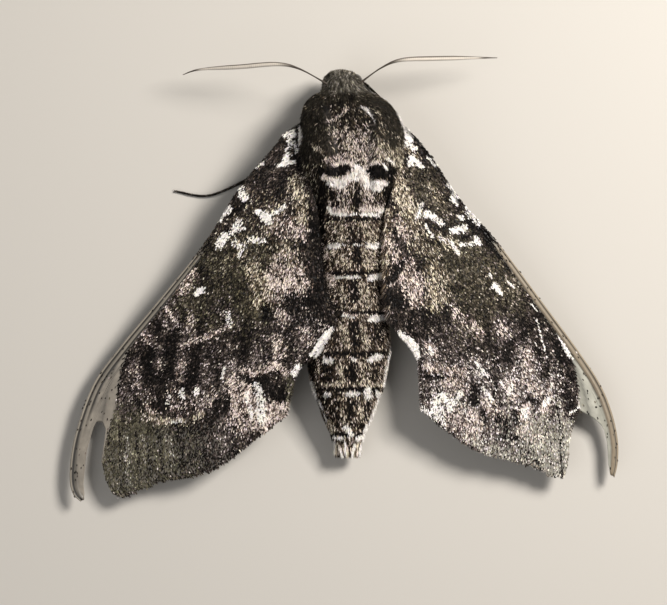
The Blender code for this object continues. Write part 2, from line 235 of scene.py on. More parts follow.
def newFinish(name, roughness, specular=0.35, grain=3000.0, variation=0.2, bump=0.12, bumpDepth=0.00003):
    # takes its markings from the piece's own tint, with a fine grain over them
    finish = bpy.data.materials.new(name)
    finish.use_nodes = True
    nodes, links = finish.node_tree.nodes, finish.node_tree.links
    shader = nodes["Principled BSDF"]
    shader.inputs["Roughness"].default_value = roughness
    shader.inputs["Specular IOR Level"].default_value = specular
    tint = nodes.new("ShaderNodeAttribute")
    tint.attribute_name = "tint"
    place = nodes.new("ShaderNodeTexCoord")
    noise = nodes.new("ShaderNodeTexNoise")
    noise.inputs["Scale"].default_value = grain
    noise.inputs["Detail"].default_value = 3.0
    spread = nodes.new("ShaderNodeMapRange")
    spread.inputs["To Min"].default_value = 1 - variation
    spread.inputs["To Max"].default_value = 1 + variation
    mix = nodes.new("ShaderNodeMix")
    mix.data_type = "RGBA"
    mix.blend_type = "MULTIPLY"
    mix.inputs["Factor"].default_value = 1.0
    relief = nodes.new("ShaderNodeBump")
    relief.inputs["Strength"].default_value = bump
    relief.inputs["Distance"].default_value = bumpDepth
    links.new(place.outputs["Object"], noise.inputs["Vector"])
    links.new(noise.outputs["Fac"], spread.inputs["Value"])
    links.new(tint.outputs["Color"], mix.inputs["A"])
    links.new(spread.outputs["Result"], mix.inputs["B"])
    links.new(mix.outputs["Result"], shader.inputs["Base Color"])
    links.new(noise.outputs["Fac"], relief.inputs["Height"])
    links.new(relief.outputs["Normal"], shader.inputs["Normal"])
    return finish


finishes = {
    "skin": newFinish("bareSkin", 0.75),
    "membrane": newFinish("wingMembrane", 0.45, specular=0.45, grain=1500.0, bump=0.3),
    "scales": newFinish("wingScales", 0.7, specular=0.06),
    "hair": newFinish("bodyHair", 0.7, specular=0.06),
    "feeler": newFinish("feelerScales", 0.6, specular=0.3),
    "tongue": newFinish("tongueHorn", 0.4, specular=0.5),
    "claw": newFinish("clawHorn", 0.3, specular=0.5),
}


def coatKind(light, spread, dim, pale, shape=(1.0, 1.0)):
    # light and spread: the middle and the spread of its lightness. dim and pale: the tone of its dark and
    # of its pale ones. shape: how long and how wide they are beside plain ones
    return {"light": light, "spread": spread, "dim": dim, "pale": pale, "shape": shape}


# the coat is mixed from these kinds of scale and hair
coatKinds = {
    "umber": coatKind(0.016, 1.25, dim=(1.0, 0.80, 0.70), pale=(1.0, 0.90, 0.86)),
    "ground": coatKind(0.017, 1.15, dim=(1.0, 0.82, 0.62), pale=(1.0, 0.90, 0.82)),
    "felt": coatKind(0.088, 0.60, dim=(1.0, 0.92, 0.76), pale=(1.0, 0.95, 0.88)),
    "smoke": coatKind(0.028, 0.65, dim=(1.0, 0.88, 0.68), pale=(1.0, 0.94, 0.84)),
    "fleece": coatKind(0.012, 1.90, dim=(1.0, 0.78, 0.54), pale=(1.0, 0.89, 0.78), shape=(0.9, 0.85)),
    "abdomen": coatKind(0.028, 1.80, dim=(1.0, 0.72, 0.52), pale=(1.0, 0.88, 0.78), shape=(0.9, 1.0)),
    "belly": coatKind(0.180, 0.60, dim=(1.0, 0.88, 0.76), pale=(1.0, 0.94, 0.88)),
    "olive": coatKind(0.034, 0.90, dim=(1.0, 0.88, 0.60), pale=(1.0, 0.95, 0.76)),
    "brown": coatKind(0.041, 1.00, dim=(1.0, 0.86, 0.62), pale=(1.0, 0.92, 0.82)),
    "tan": coatKind(0.080, 0.55, dim=(1.0, 0.92, 0.66), pale=(1.0, 0.95, 0.76)),
    "mauve": coatKind(0.052, 1.30, dim=(1.0, 0.81, 0.77), pale=(1.0, 0.90, 0.88), shape=(1.0, 0.9)),
    "frost": coatKind(0.098, 1.45, dim=(1.0, 0.81, 0.77), pale=(1.0, 0.94, 0.94), shape=(1.0, 0.95)),
    "grey": coatKind(0.120, 0.85, dim=(1.0, 0.90, 0.84), pale=(1.0, 0.95, 0.92), shape=(1.1, 0.9)),
    "pink": coatKind(0.450, 1.10, dim=(1.0, 0.70, 0.60), pale=(1.0, 0.88, 0.83), shape=(1.2, 0.85)),
    "rose": coatKind(0.620, 0.50, dim=(1.0, 0.76, 0.68), pale=(1.0, 0.90, 0.86), shape=(1.1, 0.9)),
    "cream": coatKind(0.260, 1.30, dim=(1.0, 0.76, 0.50), pale=(1.0, 0.91, 0.76), shape=(1.5, 0.7)),
    "beige": coatKind(0.330, 0.45, dim=(1.0, 0.91, 0.77), pale=(1.0, 0.97, 0.90)),
    "dark": coatKind(0.005, 0.90, dim=(1.0, 0.82, 0.74), pale=(1.0, 0.88, 0.84)),
    "white": coatKind(0.900, 0.10, dim=(1.0, 0.96, 0.93), pale=(1.0, 0.98, 0.97), shape=(1.1, 1.0)),
}
kindNames = list(coatKinds)

horn = {
    "skin": np.array([0.030, 0.024, 0.020]),
    "feelerDark": np.array([0.050, 0.038, 0.028]),
    "feelerPale": np.array([0.62, 0.56, 0.48]),
    "claw": np.array([0.060, 0.035, 0.020]),
    "clawTip": np.array([0.012, 0.008, 0.006]),
    "tongueDark": np.array([0.070, 0.045, 0.030]),
    "tonguePale": np.array([0.22, 0.16, 0.10]),
}


def mixInks(first, second, share):
    share = np.asarray(share)[..., None]
    return np.asarray(first) * (1 - share) + np.asarray(second) * share


strokeEdge = {
    "ragged": ((0.55, 0.42, 21), (0.35, 0.2, 22)),  # (how much, size of the patches, their seed)
    "soft": 0.4,
    "softer": 0.35,  # for each millimetre of half width, up to the widest
    "widest": 1.5,
}


def strokesAt(strokes, x, y):
    # how much of each place the strokes cover. A stroke: (from x, y, to x, y, half width, strength)
    cover = np.zeros(len(x))
    ragged = sum(much * (blotch(x, y, size, seed) - 0.5) for much, size, seed in strokeEdge["ragged"])
    for x0, y0, x1, y1, half, strength in strokes:
        dx, dy = x1 - x0, y1 - y0
        share = np.clip(((x - x0) * dx + (y - y0) * dy) / max(dx * dx + dy * dy, 1e-9), 0, 1)
        away = np.hypot(x - x0 - share * dx, y - y0 - share * dy) / half + ragged
        soft = strokeEdge["soft"] + strokeEdge["softer"] * min(half, strokeEdge["widest"])
        cover = np.maximum(cover, strength * ease((1 + soft - away) / (2 * soft)))
    return cover


def pickKinds(marks, x, y, start, dice):
    # the kind of each scale or hair, by chance where strokes fade out
    kinds = np.array(start)
    for name, strokes in marks.items():
        kinds[dice.random(len(x)) < strokesAt(strokes, x, y)] = kindNames.index(name)
    return kinds


ink = {
    "evenest": 0.35,  # the least that a kind mottles, for its spread
    "lightness": (0.0015, 0.92),
    "paleFrom": 0.6,
    "green": (0.92, 1.02),
    "blue": (0.82, 1.03),
    # skin and membrane under the coat: partly their own duller colour, partly painted shade of the coat over
    # them
    "underSkin": 0.1,
    "underCoat": 0.4,
}


def kindTable(part, kinds):
    return np.array([kind[part] for kind in coatKinds.values()])[kinds]


def tintOf(kinds, dice, gain=1.0):
    # a colour for each scale or hair of these kinds
    light, spread, dim, pale = (kindTable(part, kinds) for part in ("light", "spread", "dim", "pale"))
    gain = gain ** np.clip(spread, ink["evenest"], 1)  # even kinds mottle less
    value = light * gain * np.exp(spread * dice.normal(0, 1, len(kinds)))
    value = np.clip(value, *ink["lightness"])
    tint = value[:, None] * mixInks(dim, pale, ease(value / ink["paleFrom"]))
    green, blue = (dice.uniform(*ink[part], len(kinds)) for part in ("green", "blue"))
    return tint * np.stack([np.ones(len(kinds)), green, blue], 1)


def underCoatInk(kinds):
    # skin and membrane carry the same markings as the coat over them, duller: partly their own colour, partly
    # painted shade under the coat
    light, dim, pale = (kindTable(part, kinds) for part in ("light", "dim", "pale"))
    middle = mixInks(dim, pale, np.full(len(kinds), 0.5))
    return ink["underSkin"] * horn["skin"] + ink["underCoat"] * light[:, None] * middle


mottling = {"fine": 1.7, "fineSizes": (0.34, 0.21), "fineShift": 9, "broad": 1.2, "broadSize": 1.2}


def mottle(x, y):
    # neighbours keep together: small dark and pale clusters
    larger, smaller = mottling["fineSizes"]
    fine = blotch(x, y, larger, 41) + blotch(x + mottling["fineShift"], y, smaller, 43) - 1
    broad = blotch(x, y, mottling["broadSize"], 42) - 0.5
    return np.exp(mottling["fine"] * fine + mottling["broad"] * broad)


def shapeOf(kinds):
    # how long and how wide each is, beside plain ones
    return kindTable("shape", kinds).T


# marks of the forewings: (from out, forward, to out, forward, half width, strength)
foreMarks = {
    "left": {
        "olive": (
            (20.5, 2.6, 15.0, -5.0, 3.0, 0.8), (23.6, -3.4, 20.4, -6.0, 2.0, 0.5),
            (13.0, 4.4, 9.0, 3.6, 1.4, 0.5),
        ),
        "tan": (
            (31.4, -21.6, 31.0, -27.4, 3.2, 0.95), (33.8, -19.6, 33.4, -29.6, 1.7, 0.95),
            (28.4, -22.8, 26.2, -26.4, 2.6, 0.85), (24.0, -22.6, 23.4, -27.0, 2.0, 0.4),
            (35.2, -24.0, 34.6, -29.6, 1.0, 0.95), (8.9, -14.0, 9.0, -18.0, 0.5, 0.6),
        ),
        "beige": (
            (32.2, -22.0, 31.8, -29.6, 0.35, 0.35), (29.8, -22.4, 29.4, -26.6, 0.3, 0.25),
            (26.2, -22.4, 25.4, -26.4, 0.4, 0.2),
        ),
        "mauve": (
            (29.6, -8.2, 29.0, -9.2, 1.1, 0.75), (27.7, -10.6, 27.2, -12.8, 1.0, 0.75),
            (24.1, -11.4, 24.7, -14.6, 1.2, 0.65), (31.1, -12.4, 30.6, -15.4, 1.3, 0.85),
            (32.3, -16.4, 31.8, -17.8, 1.2, 0.8), (29.2, -15.9, 28.4, -17.2, 1.0, 0.6),
            (22.6, -8.0, 23.6, -9.4, 1.1, 0.65), (26.2, -3.8, 25.4, -6.6, 1.2, 0.65),
            (19.6, -10.8, 16.4, -13.0, 1.8, 0.5), (12.8, -9.8, 10.0, -6.8, 1.6, 0.55),
            (20.2, -13.4, 21.0, -14.8, 1.0, 0.6), (17.0, -20.2, 18.6, -24.0, 1.8, 0.6),
            (20.6, -16.4, 20.0, -18.4, 1.2, 0.5), (6.4, -7.4, 7.6, -10.4, 1.1, 0.5),
            (33.6, -18.4, 32.0, -19.8, 0.8, 0.4), (18.6, -3.6, 16.8, -6.6, 1.2, 0.45),
        ),
        "pink": (
            (10.8, 7.8, 7.0, 6.8, 1.3, 0.5), (10.9, 1.2, 7.4, 1.2, 0.9, 0.75),
            (10.6, 2.8, 8.0, 3.2, 0.9, 0.5), (11.4, -0.6, 7.2, -1.2, 1.2, 0.85),
            (12.4, -2.6, 10.4, -2.6, 0.9, 0.55), (9.9, -4.9, 9.3, -6.2, 0.8, 0.65),
            (10.6, -8.8, 10.2, -10.8, 0.8, 0.45), (6.8, -7.4, 6.0, -8.8, 0.8, 0.35),
            (17.6, -6.9, 20.6, -8.1, 0.35, 0.5), (20.6, -8.1, 23.4, -9.2, 0.4, 0.5),
            (15.7, -12.9, 13.4, -13.5, 0.45, 0.7), (13.4, -13.5, 10.8, -12.1, 0.5, 0.75),
            (10.8, -12.1, 9.2, -13.2, 0.5, 0.7), (16.9, -14.6, 16.2, -19.0, 0.9, 0.75),
            (15.0, -15.6, 13.6, -20.0, 1.0, 0.8), (11.6, -18.2, 9.9, -18.0, 0.8, 0.95),
            (12.0, -19.8, 10.3, -19.4, 0.9, 0.95), (14.4, -20.6, 12.4, -21.0, 0.7, 0.8),
            (17.2, -20.2, 15.4, -21.4, 0.9, 0.4), (28.8, -18.5, 28.2, -19.8, 0.9, 0.4),
            (25.7, -16.4, 24.4, -17.0, 0.8, 0.3), (24.8, -18.6, 22.2, -17.6, 1.0, 0.3),
            (22.6, 0.7, 24.2, -1.6, 0.8, 0.65), (26.2, -4.3, 25.4, -5.4, 0.5, 0.45),
            (22.8, -5.4, 23.0, -6.4, 0.5, 0.35), (19.8, -16.2, 21.2, -18.2, 0.7, 0.4),
            (29.4, -8.2, 28.8, -9.0, 0.6, 0.35), (24.0, -12.0, 24.6, -14.0, 0.6, 0.35),
            (31.0, -13.2, 30.6, -14.8, 0.7, 0.35),
        ),
        "rose": (
            (6.4, -4.4, 4.6, -6.6, 1.0, 0.14), (7.2, -4.0, 6.8, -7.6, 0.6, 0.12),
        ),
        "cream": (
            (7.8, 14.0, 6.8, 8.6, 1.0, 0.6), (14.0, 1.6, 13.2, -3.4, 0.9, 0.6),
            (12.6, 0.8, 12.1, -4.0, 0.7, 0.55), (14.2, 10.2, 15.4, 4.4, 2.6, 0.14),
            (10.6, 5.0, 8.4, 3.0, 1.0, 0.25), (29.4, -18.8, 27.8, -20.2, 0.4, 0.5),
            (27.8, -20.2, 23.2, -20.3, 0.45, 0.7), (23.2, -20.3, 21.2, -19.2, 0.4, 0.6),
            (9.6, 11.2, 12.0, 7.0, 1.4, 0.2),
        ),
        "dark": (
            (11.4, 15.5, 12.9, 13.9, 0.8, 0.8), (9.6, 14.6, 10.3, 11.6, 0.6, 0.75),
            (15.3, 10.7, 17.0, 9.1, 0.5, 0.9), (17.7, 7.2, 17.2, 5.9, 0.4, 0.8),
            (19.4, 0.6, 17.4, -3.6, 1.8, 0.3), (22.8, 2.4, 19.8, 5.0, 0.6, 0.6),
            (21.2, 1.4, 20.7, 0.2, 0.6, 0.6), (12.3, -4.2, 11.7, -5.6, 0.6, 0.85),
            # painted shade: the first three strokes from here darken the left wing's inner part beside the
            # abdomen, where it lies in shade
            (8.2, -3.2, 3.6, -3.2, 1.2, 0.85), (7.8, -5.4, 5.0, -5.8, 1.2, 0.45),
            (4.2, 1.4, 4.6, -1.6, 0.7, 0.8), (14.6, -6.6, 13.4, -8.6, 1.0, 0.45),
            (16.4, -8.2, 15.2, -10.8, 1.0, 0.45), (27.9, -6.2, 27.3, -8.6, 0.55, 0.85),
            (25.4, -8.0, 26.1, -13.6, 0.85, 0.9), (28.7, -10.2, 28.9, -14.8, 0.8, 0.9),
            (31.9, -10.7, 32.7, -13.0, 0.5, 0.85), (28.2, -14.0, 26.8, -15.8, 0.9, 0.85),
            (22.3, -10.0, 22.4, -12.2, 0.85, 0.9), (20.4, -9.8, 20.2, -11.4, 0.7, 0.6),
            (22.4, -14.3, 23.1, -15.5, 0.7, 0.9), (30.7, -17.0, 30.0, -18.3, 0.5, 0.8),
            (28.2, -17.9, 27.2, -18.4, 0.5, 0.85), (26.9, -16.2, 26.6, -18.8, 0.5, 0.75),
            (33.2, -14.2, 33.7, -16.6, 0.35, 0.8), (23.5, -4.8, 24.2, -7.4, 0.5, 0.65),
            (20.8, -5.8, 21.6, -7.6, 0.5, 0.5), (10.9, -15.9, 10.0, -16.9, 0.8, 1),
            (14.8, -14.3, 13.9, -14.7, 0.5, 0.85), (12.8, -14.2, 11.4, -15.0, 0.6, 0.8),
            (19.0, -17.6, 19.6, -19.8, 0.6, 0.75), (17.6, -16.8, 17.9, -18.8, 0.4, 0.6),
            (20.6, -21.0, 24.4, -21.4, 1.1, 0.5), (21.0, -23.8, 22.4, -25.8, 1.2, 0.35),
            # painted shade: the next stroke is the abdomen's shadow along the left wing's inner edge
            (5.4, 9.0, 4.4, 2.2, 0.9, 0.9), (34.3, -17.6, 34.6, -22.6, 0.12, 0.7),
            (30.8, -21.6, 30.2, -28.2, 0.2, 0.6), (27.6, -21.6, 26.8, -27.8, 0.25, 0.55),
            (24.8, -21.8, 23.8, -26.8, 0.4, 0.5), (33.2, -21.0, 33.0, -29.6, 0.14, 0.55),
            (29.2, -23.0, 28.6, -28.2, 0.12, 0.5),
        ),
        "white": (
            (9.1, 17.3, 9.5, 16.5, 0.42, 1), (8.2, 16.5, 10.3, 16.0, 0.3, 0.95),
            (8.2, 19.2, 7.8, 18.0, 0.3, 0.7), (7.4, 21.5, 7.2, 19.5, 0.25, 0.9),
            (8.8, 19.1, 9.1, 18.2, 0.4, 0.45), (12.2, 16.6, 13.4, 15.7, 0.2, 0.45),
            (9.4, 20.3, 8.2, 20.6, 0.42, 0.95), (8.6, 20.0, 8.8, 19.4, 0.3, 0.8),
            (15.8, 12.5, 15.1, 11.3, 0.45, 0.9), (17.4, 9.9, 18.9, 8.4, 0.4, 0.95),
            (18.5, 8.2, 19.6, 7.9, 0.2, 0.9), (15.9, 8.0, 16.9, 6.6, 0.5, 0.8),
            (15.3, 7.2, 16.0, 6.8, 0.2, 0.7), (18.0, 6.0, 18.8, 4.8, 0.55, 0.95),
            (13.4, 9.4, 11.6, 8.5, 0.4, 0.85), (12.4, 8.8, 11.8, 8.3, 0.6, 1),
            (11.4, 9.0, 9.4, 10.3, 0.26, 0.8), (14.3, 5.6, 12.4, 5.4, 0.35, 0.75),
            (16.6, 5.2, 15.4, 4.6, 0.45, 0.5), (15.2, 4.8, 15.9, 3.2, 0.26, 0.6),
            (21.9, -2.0, 21.2, -1.6, 0.4, 1), (17.6, -4.8, 17.3, -6.8, 0.3, 0.5),
            (18.1, -12.8, 18.4, -14.1, 0.18, 0.8), (24.2, -15.9, 24.0, -16.7, 0.37, 0.65),
            (22.0, -15.6, 22.2, -16.4, 0.37, 0.75), (26.0, -16.8, 26.3, -17.8, 0.25, 0.5),
            (25.8, -20.4, 24.2, -20.2, 0.25, 0.6), (2.6, -6.9, 3.5, -7.6, 0.2, 0.9),
            (3.5, -7.7, 4.5, -8.9, 0.36, 1), (4.5, -9.0, 5.6, -10.7, 0.32, 1),
            (7.6, -12.4, 8.3, -13.4, 0.34, 0.9), (13.3, -15.2, 12.8, -18.0, 0.5, 0.7),
            (13.0, -18.0, 12.9, -20.1, 0.6, 0.7), (15.0, -16.2, 14.2, -19.6, 0.3, 0.7),
        ),
    },
    "right": {
        "brown": (
            (15.5, 2.6, 18.5, -4.0, 3.2, 0.9), (20.5, 2.0, 22.5, -3.0, 2.2, 0.8),
            (10.4, 14.4, 12.6, 9.8, 1.5, 0.8), (9.0, 15.0, 10.4, 11.5, 1.2, 0.8),
            (10.6, 4.4, 12.6, 3.2, 1.0, 0.5), (13.6, -5.0, 19.0, -9.0, 2.2, 0.5),
        ),
        "abdomen": (
            (4.8, 9.4, 4.6, 1.0, 0.8, 0.8), (4.7, -0.6, 4.7, -4.2, 0.5, 0.8),
        ),
        "mauve": (
            (21.4, -6.2, 21.6, -8.4, 1.3, 0.8), (24.6, -9.6, 25.2, -13.6, 1.3, 0.6),
            (22.6, -11.0, 22.4, -13.0, 0.8, 0.6), (27.6, -7.0, 28.2, -11.0, 0.9, 0.4),
            (13.8, -6.6, 16.8, -11.2, 2.2, 0.45), (12.4, -8.4, 13.6, -10.6, 1.2, 0.5),
            (19.4, -9.0, 20.4, -13.0, 1.4, 0.45), (30.4, -14.4, 31.4, -19.0, 1.2, 0.5),
        ),
        "frost": (
            (12.4, -15.0, 16.0, -21.0, 2.8, 0.95), (17.6, -14.6, 20.0, -23.0, 2.6, 0.95),
            (22.4, -13.0, 23.0, -22.6, 2.4, 0.9), (25.6, -13.0, 26.4, -20.0, 2.2, 0.95),
            (28.2, -13.6, 28.6, -20.0, 1.4, 0.8), (10.8, -9.6, 11.4, -17.0, 1.3, 0.8),
            (17.6, -23.0, 23.0, -24.8, 1.4, 0.7), (25.0, -9.6, 25.2, -12.6, 1.1, 0.5),
            (13.6, -12.2, 17.0, -12.8, 0.8, 0.7),
        ),
        "beige": (
            (26.2, -21.8, 27.6, -25.4, 2.3, 0.75), (29.0, -21.2, 29.2, -27.0, 1.2, 0.85),
            (30.6, -20.8, 30.6, -27.6, 0.8, 0.95), (20.0, -24.6, 24.0, -25.6, 1.1, 0.5),
            (16.4, -22.6, 18.6, -24.0, 0.6, 0.6), (27.0, -27.0, 29.4, -28.0, 1.0, 0.9),
            (29.3, -17.4, 29.6, -19.6, 0.5, 0.6), (32.2, -12.4, 32.6, -18.4, 0.25, 0.5),
            (17.8, -16.4, 17.8, -23.6, 0.16, 0.7), (22.2, -14.6, 22.3, -23.0, 0.15, 0.6),
        ),
        "pink": (
            (5.4, -0.8, 7.4, 0.1, 0.35, 0.75), (8.0, 1.8, 7.8, 0.2, 1.0, 0.65),
            (8.6, -0.6, 8.6, -2.2, 1.3, 0.85), (8.4, -3.2, 9.6, -3.4, 0.7, 0.5),
            (6.4, 8.2, 7.8, 6.0, 0.8, 0.55), (4.9, 5.6, 6.6, 2.4, 0.7, 0.5),
            (14.4, -4.6, 18.2, -8.0, 0.7, 0.4), (17.0, -6.0, 18.5, -7.8, 0.4, 0.6),
            (21.2, -6.6, 21.6, -8.0, 0.7, 0.35), (24.8, -10.4, 25.0, -12.8, 0.8, 0.5),
            (10.8, -9.4, 11.6, -10.8, 0.5, 0.6), (10.6, -12.6, 13.4, -12.8, 0.6, 0.6),
            (13.6, -13.0, 15.6, -13.2, 0.7, 0.6), (13.4, -14.6, 16.0, -15.2, 0.9, 0.5),
            (14.6, -19.6, 16.6, -21.4, 1.3, 0.5), (17.4, -19.0, 18.0, -21.6, 0.9, 0.4),
            (19.4, -17.8, 21.2, -19.6, 0.9, 0.45), (22.4, -15.2, 22.8, -16.6, 0.8, 0.5),
            (24.6, -18.6, 24.6, -19.8, 0.8, 0.8), (24.6, -14.6, 26.4, -16.0, 0.8, 0.4),
            (27.8, -17.4, 27.6, -18.4, 0.7, 0.75), (28.2, -15.0, 28.0, -16.2, 0.5, 0.5),
            (24.4, -21.4, 26.0, -22.6, 1.0, 0.4),
        ),
        "cream": (
            (5.9, 17.6, 6.6, 13.2, 0.9, 0.75), (6.4, 13.0, 8.4, 9.0, 1.3, 0.75),
            (7.4, 18.8, 9.0, 17.4, 0.5, 0.5), (11.4, 1.6, 11.6, -3.8, 1.0, 0.6),
            (12.8, 1.2, 13.0, -2.6, 0.7, 0.5), (7.8, 8.2, 10.0, 6.0, 1.0, 0.45),
            (12.2, 5.9, 14.4, 4.6, 0.6, 0.65), (11.2, 12.8, 12.6, 10.8, 0.5, 0.3),
            (9.0, 4.6, 11.4, 3.4, 1.2, 0.3), (11.4, -3.6, 11.8, -4.8, 0.4, 0.6),
            (5.2, 9.4, 5.0, 5.8, 0.6, 0.3), (4.8, 3.6, 4.6, 0.8, 0.4, 0.35),
        ),
        "dark": (
            (6.9, 2.4, 5.6, -0.2, 0.5, 0.9), (5.2, -2.6, 7.0, -3.5, 1.0, 0.95),
            (8.6, -5.6, 10.4, -6.4, 1.0, 0.55), (11.2, -5.0, 12.4, -6.4, 0.6, 0.85),
            (13.2, -4.0, 13.6, -6.2, 0.4, 0.6), (4.9, 12.2, 5.4, 10.4, 0.5, 0.8),
            (11.4, 7.4, 12.4, 6.6, 0.3, 0.7), (16.2, 8.2, 17.2, 6.9, 0.35, 0.8),
            (17.8, 7.2, 20.4, 4.2, 0.6, 0.9), (20.6, 3.6, 23.2, 1.0, 0.5, 0.7),
            (16.4, 6.0, 15.6, 5.8, 0.3, 0.7), (29.2, -9.4, 29.6, -11.2, 0.6, 0.95),
            (30.0, -9.8, 30.6, -12.0, 0.3, 0.8), (22.2, -9.4, 22.0, -11.6, 0.7, 0.9),
            (20.2, -10.0, 20.6, -12.6, 0.5, 0.5), (24.0, -8.0, 24.4, -9.4, 0.5, 0.5),
            (26.4, -9.6, 26.8, -11.6, 0.35, 0.6), (28.0, -12.0, 27.6, -13.8, 0.5, 0.85),
            (17.3, -15.4, 17.3, -17.6, 0.65, 0.95), (10.4, -13.8, 12.8, -14.0, 0.35, 0.8),
            (12.2, -15.8, 12.6, -16.6, 0.3, 0.7), (20.2, -16.2, 20.0, -17.0, 0.35, 0.6),
            (20.8, -19.8, 22.0, -21.2, 0.7, 0.75), (23.2, -19.0, 23.4, -20.4, 0.4, 0.75),
            (21.0, -22.5, 23.6, -22.7, 0.35, 0.85), (25.2, -17.2, 26.6, -17.6, 0.35, 0.7),
            (30.6, -15.8, 31.4, -18.6, 0.8, 0.75), (30.8, -13.6, 31.6, -14.8, 0.5, 0.6),
            (29.0, -17.0, 29.6, -21.0, 0.1, 0.8), (29.6, -21.0, 29.9, -28.4, 0.12, 0.95),
            (26.2, -26.0, 26.8, -27.0, 0.3, 0.6), (18.4, -18.6, 19.0, -20.4, 0.25, 0.5),
        ),
        "white": (
            (6.8, 23.6, 7.4, 22.0, 0.2, 1), (7.2, 22.0, 7.7, 20.0, 0.3, 1),
            (7.9, 20.9, 8.2, 19.6, 0.4, 1), (7.6, 19.0, 8.8, 18.4, 0.4, 0.8),
            (8.4, 17.0, 8.2, 16.2, 0.45, 1), (8.6, 16.8, 9.8, 15.8, 0.3, 1),
            (10.6, 17.2, 11.8, 16.0, 0.2, 0.95), (13.6, 13.3, 14.4, 12.4, 0.28, 0.9),
            (14.7, 12.4, 14.3, 11.2, 0.45, 0.95), (14.5, 11.2, 14.9, 10.4, 0.28, 0.8),
            (16.2, 10.3, 16.8, 9.4, 0.28, 0.8), (16.6, 9.2, 17.9, 7.8, 0.45, 0.85),
            (9.9, 10.6, 9.2, 8.6, 0.28, 0.7), (10.6, 9.2, 11.6, 8.6, 0.45, 0.95),
            (11.4, 8.8, 12.6, 7.8, 0.38, 0.85), (15.3, 8.7, 15.6, 8.4, 0.35, 0.9),
            (14.2, 6.8, 15.8, 7.2, 0.45, 0.9), (10.3, 7.6, 11.4, 5.8, 0.18, 0.75),
            (12.4, 5.6, 13.6, 5.4, 0.3, 0.5), (13.8, 5.4, 15.0, 3.6, 0.26, 0.7),
            (15.4, 4.8, 17.4, 4.9, 0.28, 0.7), (17.4, 5.6, 18.0, 5.0, 0.35, 0.7),
            (20.1, -0.9, 21.0, -2.0, 0.34, 1), (19.4, 0.7, 19.7, 0.3, 0.14, 0.9),
            (22.0, -0.4, 22.9, -1.2, 0.14, 0.8), (25.4, -3.6, 26.2, -4.6, 0.13, 0.8),
            (26.2, -5.9, 27.4, -10.2, 0.11, 0.7), (29.4, -8.3, 30.4, -9.8, 0.2, 0.95),
            (30.2, -9.4, 30.8, -10.6, 0.35, 0.95), (30.8, -10.8, 32.0, -11.8, 0.25, 0.9),
            (32.0, -11.8, 33.0, -13.4, 0.16, 0.7), (32.4, -18.2, 30.9, -19.2, 0.15, 0.7),
            (6.6, -7.9, 8.0, -8.7, 0.45, 1), (8.0, -8.7, 9.0, -9.8, 0.4, 1),
            (9.0, -9.8, 9.5, -11.2, 0.3, 0.9), (10.9, -9.8, 11.2, -10.6, 0.3, 0.7),
            (17.5, -11.9, 18.4, -12.9, 0.17, 0.85), (18.6, -13.2, 19.0, -13.7, 0.33, 0.8),
            (21.0, -14.4, 21.6, -15.6, 0.12, 0.6), (12.3, -17.2, 12.0, -19.2, 0.9, 0.7),
            (13.0, -16.6, 13.8, -18.2, 0.45, 0.8), (15.4, -16.2, 13.9, -18.6, 0.35, 0.8),
            (12.6, -19.6, 13.0, -20.6, 0.4, 0.6), (10.0, -18.2, 10.6, -19.2, 0.35, 0.5),
            (18.6, -15.6, 19.8, -17.0, 0.3, 0.8), (22.6, -15.4, 22.4, -16.2, 0.4, 0.5),
            (24.6, -18.8, 24.8, -19.6, 0.5, 0.7), (28.0, -17.2, 27.4, -17.8, 0.4, 0.7),
            (28.4, -15.0, 28.2, -15.8, 0.2, 0.7), (21.2, -22.9, 22.2, -23.0, 0.13, 0.7),
        ),
    },
}


wingShape = {
    "tipHeight": 2.2,
    "rise": 7.4,
    "span": 41.0,
    "curve": 1.15,
    "drop": 0.4,
    "dropLength": 24.0,
    "membrane": 0.12,  # thickness
    "depth": 0.2,  # from the solid's top to the membrane
    "ridge": 0.22,  # how far the veins stand up
    "ridgeFrom": (0.35, 0.4),  # from here along the wing, growing over this
    "wave": (0.12, 4.0),  # height and length
    "rimVeins": ((0.006, 1.0), (0.026, 0.8)),  # (how far from the front edge, height) of the thick ones there
    "rimWidth": 0.006,
}

